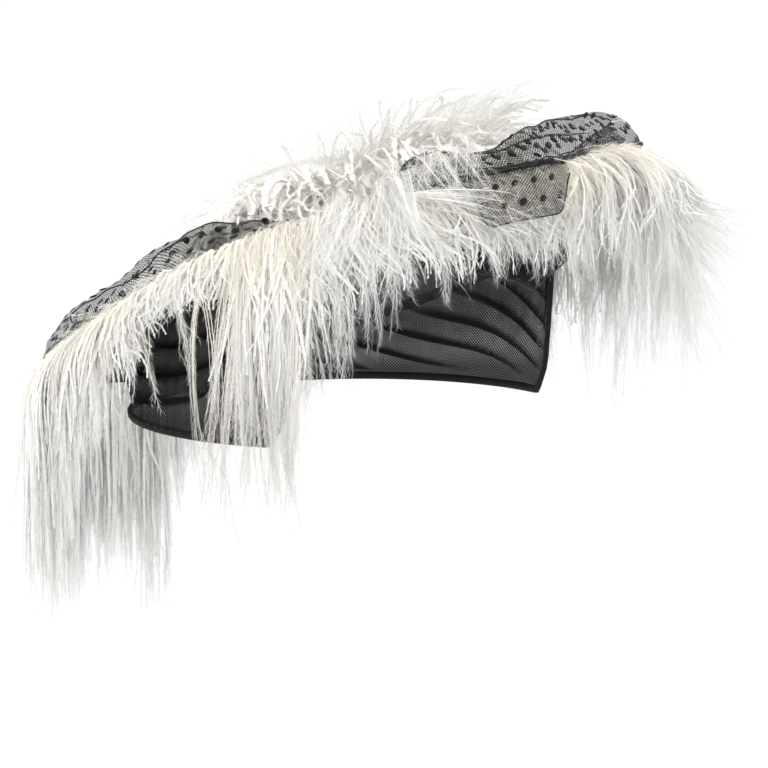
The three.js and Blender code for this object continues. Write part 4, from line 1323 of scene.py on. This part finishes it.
def crown_core(material):
    """The close soft mass inside the crown plumes, under their loose flue."""
    angle = np.linspace(-180, 180, CORE_COLUMNS, endpoint=False)[:, None]
    turn = np.radians(angle)
    path = np.concatenate([[(0, 64)], CROWN_SECTION, [(116, 9), (0, 9)]])
    travelled = lengths_along(path, 0)
    wanted = np.linspace(0, travelled[-1], CORE_ROWS)[None, :]
    radius, height = (CORE_SHARE * np.interp(wanted, travelled, path[:, k]) for k in range(2))
    away = smooth(radius, 0, 60)
    lump = 0.035 * np.sin(9 * turn + wanted / 9) + 0.03 * np.sin(17 * turn - wanted / 6)
    swell = 1 + (lump + 0.02 * np.sin(31 * turn)) * away
    spread = 1 + (read(CROWN_SPREAD, "spread", angle) - 1) * away
    rise = 1 + (read(CROWN_SPREAD, "rise", angle) - 1) * away
    points = on_saucer(angle + 0 * radius, radius * spread * swell, height * rise * swell) + CROWN_MIDDLE
    mass = grid_object("crown_core", points, material, wrap_rows=True)
    shape = bmesh.new()
    shape.from_mesh(mass.data)
    bmesh.ops.remove_doubles(shape, verts=shape.verts, dist=0.01 * MM)
    bmesh.ops.recalc_face_normals(shape, faces=shape.faces)
    shape.to_mesh(mass.data)
    shape.free()
    shade_smooth(mass.data)
    wear(mass)


# Studio

def aimed(name, data, place, direction):
    """A camera or light at a place, looking along a direction."""
    made = bpy.data.objects.new(name, data)
    made.location = place
    made.rotation_mode = "QUATERNION"
    made.rotation_quaternion = direction.to_track_quat("-Z", "Y")
    bpy.context.scene.collection.objects.link(made)
    return made


def studio():
    """A plain pale floor under plain soft light. The lights' places and sizes are in metres."""
    material, _, shader = new_material("studio_floor", 0.9)
    shader["Base Color"].default_value = (0.98, 0.98, 0.98, 1)
    mesh = bpy.data.meshes.new("studio_floor")
    signs = ((-1, -1), (1, -1), (1, 1), (-1, 1))
    corners = [(x * FLOOR_REACH * MM, y * FLOOR_REACH * MM, FLOOR_HEIGHT * MM) for x, y in signs]
    mesh.from_pydata(corners, [], [(0, 1, 2, 3)])
    finish_object("studio_floor", mesh, material)

    world = bpy.data.worlds.new("studio_air")
    bpy.context.scene.world = world
    world.use_nodes = True
    air = world.node_tree.nodes["Background"].inputs
    air["Color"].default_value = (1, 1, 1, 1)
    air["Strength"].default_value = 1.04

    for name, place, size, power in (
        ("key_softbox", (-1.9, -1.0, 0.5), 1.6, 7.0),
        ("top_softbox", (-0.3, -0.5, 1.9), 1.8, 13.0),
    ):
        light = bpy.data.lights.new(name, "AREA")
        light.size = size
        light.energy = power
        aimed(name, light, place, -Vector(place))


def camera():
    """The camera at the picture's viewing angle."""
    azimuth, elevation = math.radians(CAMERA_AZIMUTH), math.radians(CAMERA_ELEVATION)
    back = Vector((
        math.sin(azimuth) * math.cos(elevation),
        -math.cos(azimuth) * math.cos(elevation),
        math.sin(elevation),
    ))
    data = bpy.data.cameras.new("camera")
    data.lens = CAMERA_LENS
    data.clip_end = CAMERA_SIGHT * MM
    place = Vector(CAMERA_TARGET * MM) + back * CAMERA_DISTANCE * MM
    bpy.context.scene.camera = aimed("camera", data, place, -back)


bpy.context.scene.view_settings.view_transform = "Standard"
camera()
studio()

FLUE = flue_tree()
DOWN = down_tree()
THREAD = thread_tree()
DOTS = dot_tree()
NET = net_group()
FIBRE = fibre_group()

# The darkest and the lightest colour of a cloth's threads
RIBBON_DARK, RIBBON_LIGHT = (0.006, 0.006, 0.005), (0.016, 0.015, 0.014)
BINDING_DARK, BINDING_LIGHT = (0.006, 0.006, 0.007), (0.018, 0.018, 0.019)
black_net = net_material(
    "black_net", 1.63, (0.5, 0.48), 0.6, 0.16, (0.005, 0.005, 0.006), (0.062, 0.061, 0.059)
)
binding_cloth = woven_material("black_binding", BINDING_DARK, BINDING_LIGHT, 0.8, 260.0, 0.1)
finishes = {
    "ribbon_net": net_material("dotted_net", 1.75, (0.2, 0.1), 0.3, 0.05, RIBBON_DARK, RIBBON_LIGHT),
    "gathered_net": net_material("gathered_net", 1.6, (0.19, 0.1), 0.4, 0.05, RIBBON_DARK, RIBBON_LIGHT),
    "flock": woven_material("black_flock", (0.004, 0.004, 0.004), (0.012, 0.011, 0.011), 0.95, 400.0, 0.3),
    "roll": woven_material("rolled_net", (0.006, 0.006, 0.006), (0.03, 0.029, 0.028), 0.8, 220.0, 0.1),
    "thread": woven_material("black_thread", (0.010, 0.010, 0.010), (0.03, 0.03, 0.03), 0.6, 300.0, 0.2),
}

# Feather colours: the light and shaded flue, the cream of its root, and the darker colour of its thin tips,
# a painted shade
white = ((0.972, 0.973, 0.965), (0.945, 0.945, 0.935), (0.95, 0.905, 0.80), (0.84, 0.84, 0.825))
creamy = ((0.972, 0.965, 0.94), (0.95, 0.94, 0.905), (0.95, 0.91, 0.815), (0.90, 0.893, 0.865))
close = ((0.965, 0.955, 0.92), (0.93, 0.92, 0.875), (0.95, 0.91, 0.815), (0.90, 0.893, 0.865))
# The drawn-out locks past the hem: a darker, shaded copy of the white flue with much darker tips, all
# painted shade.
drawn = ((0.93, 0.91, 0.86), (0.86, 0.84, 0.79), (0.94, 0.89, 0.78), (0.54, 0.525, 0.49))
white_ostrich = ostrich_material("white_ostrich", *white)
cream_ostrich = ostrich_material("cream_ostrich", *creamy)
white_down = down_material("white_ostrich_down", *white)
cream_down = down_material("cream_ostrich_down", *creamy)

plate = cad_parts["saucer_plate"]
plate.data.materials.clear()
plate.data.materials.append(saucer_material())

cap_net(black_net)
cap_binding(binding_cloth, finishes["thread"])
ribbon(finishes)
for number in range(PLUME_COUNT):
    rim_plume(number, white_ostrich, white_down)
near_fingers(ostrich_material("drawn_ostrich_painted_shade", *drawn))
front_tuft(white_ostrich)
for number in range(CROWN_PLUMES):
    crown_plume(number, cream_ostrich, cream_down)
crown_core(ostrich_material("crown_under", *close))
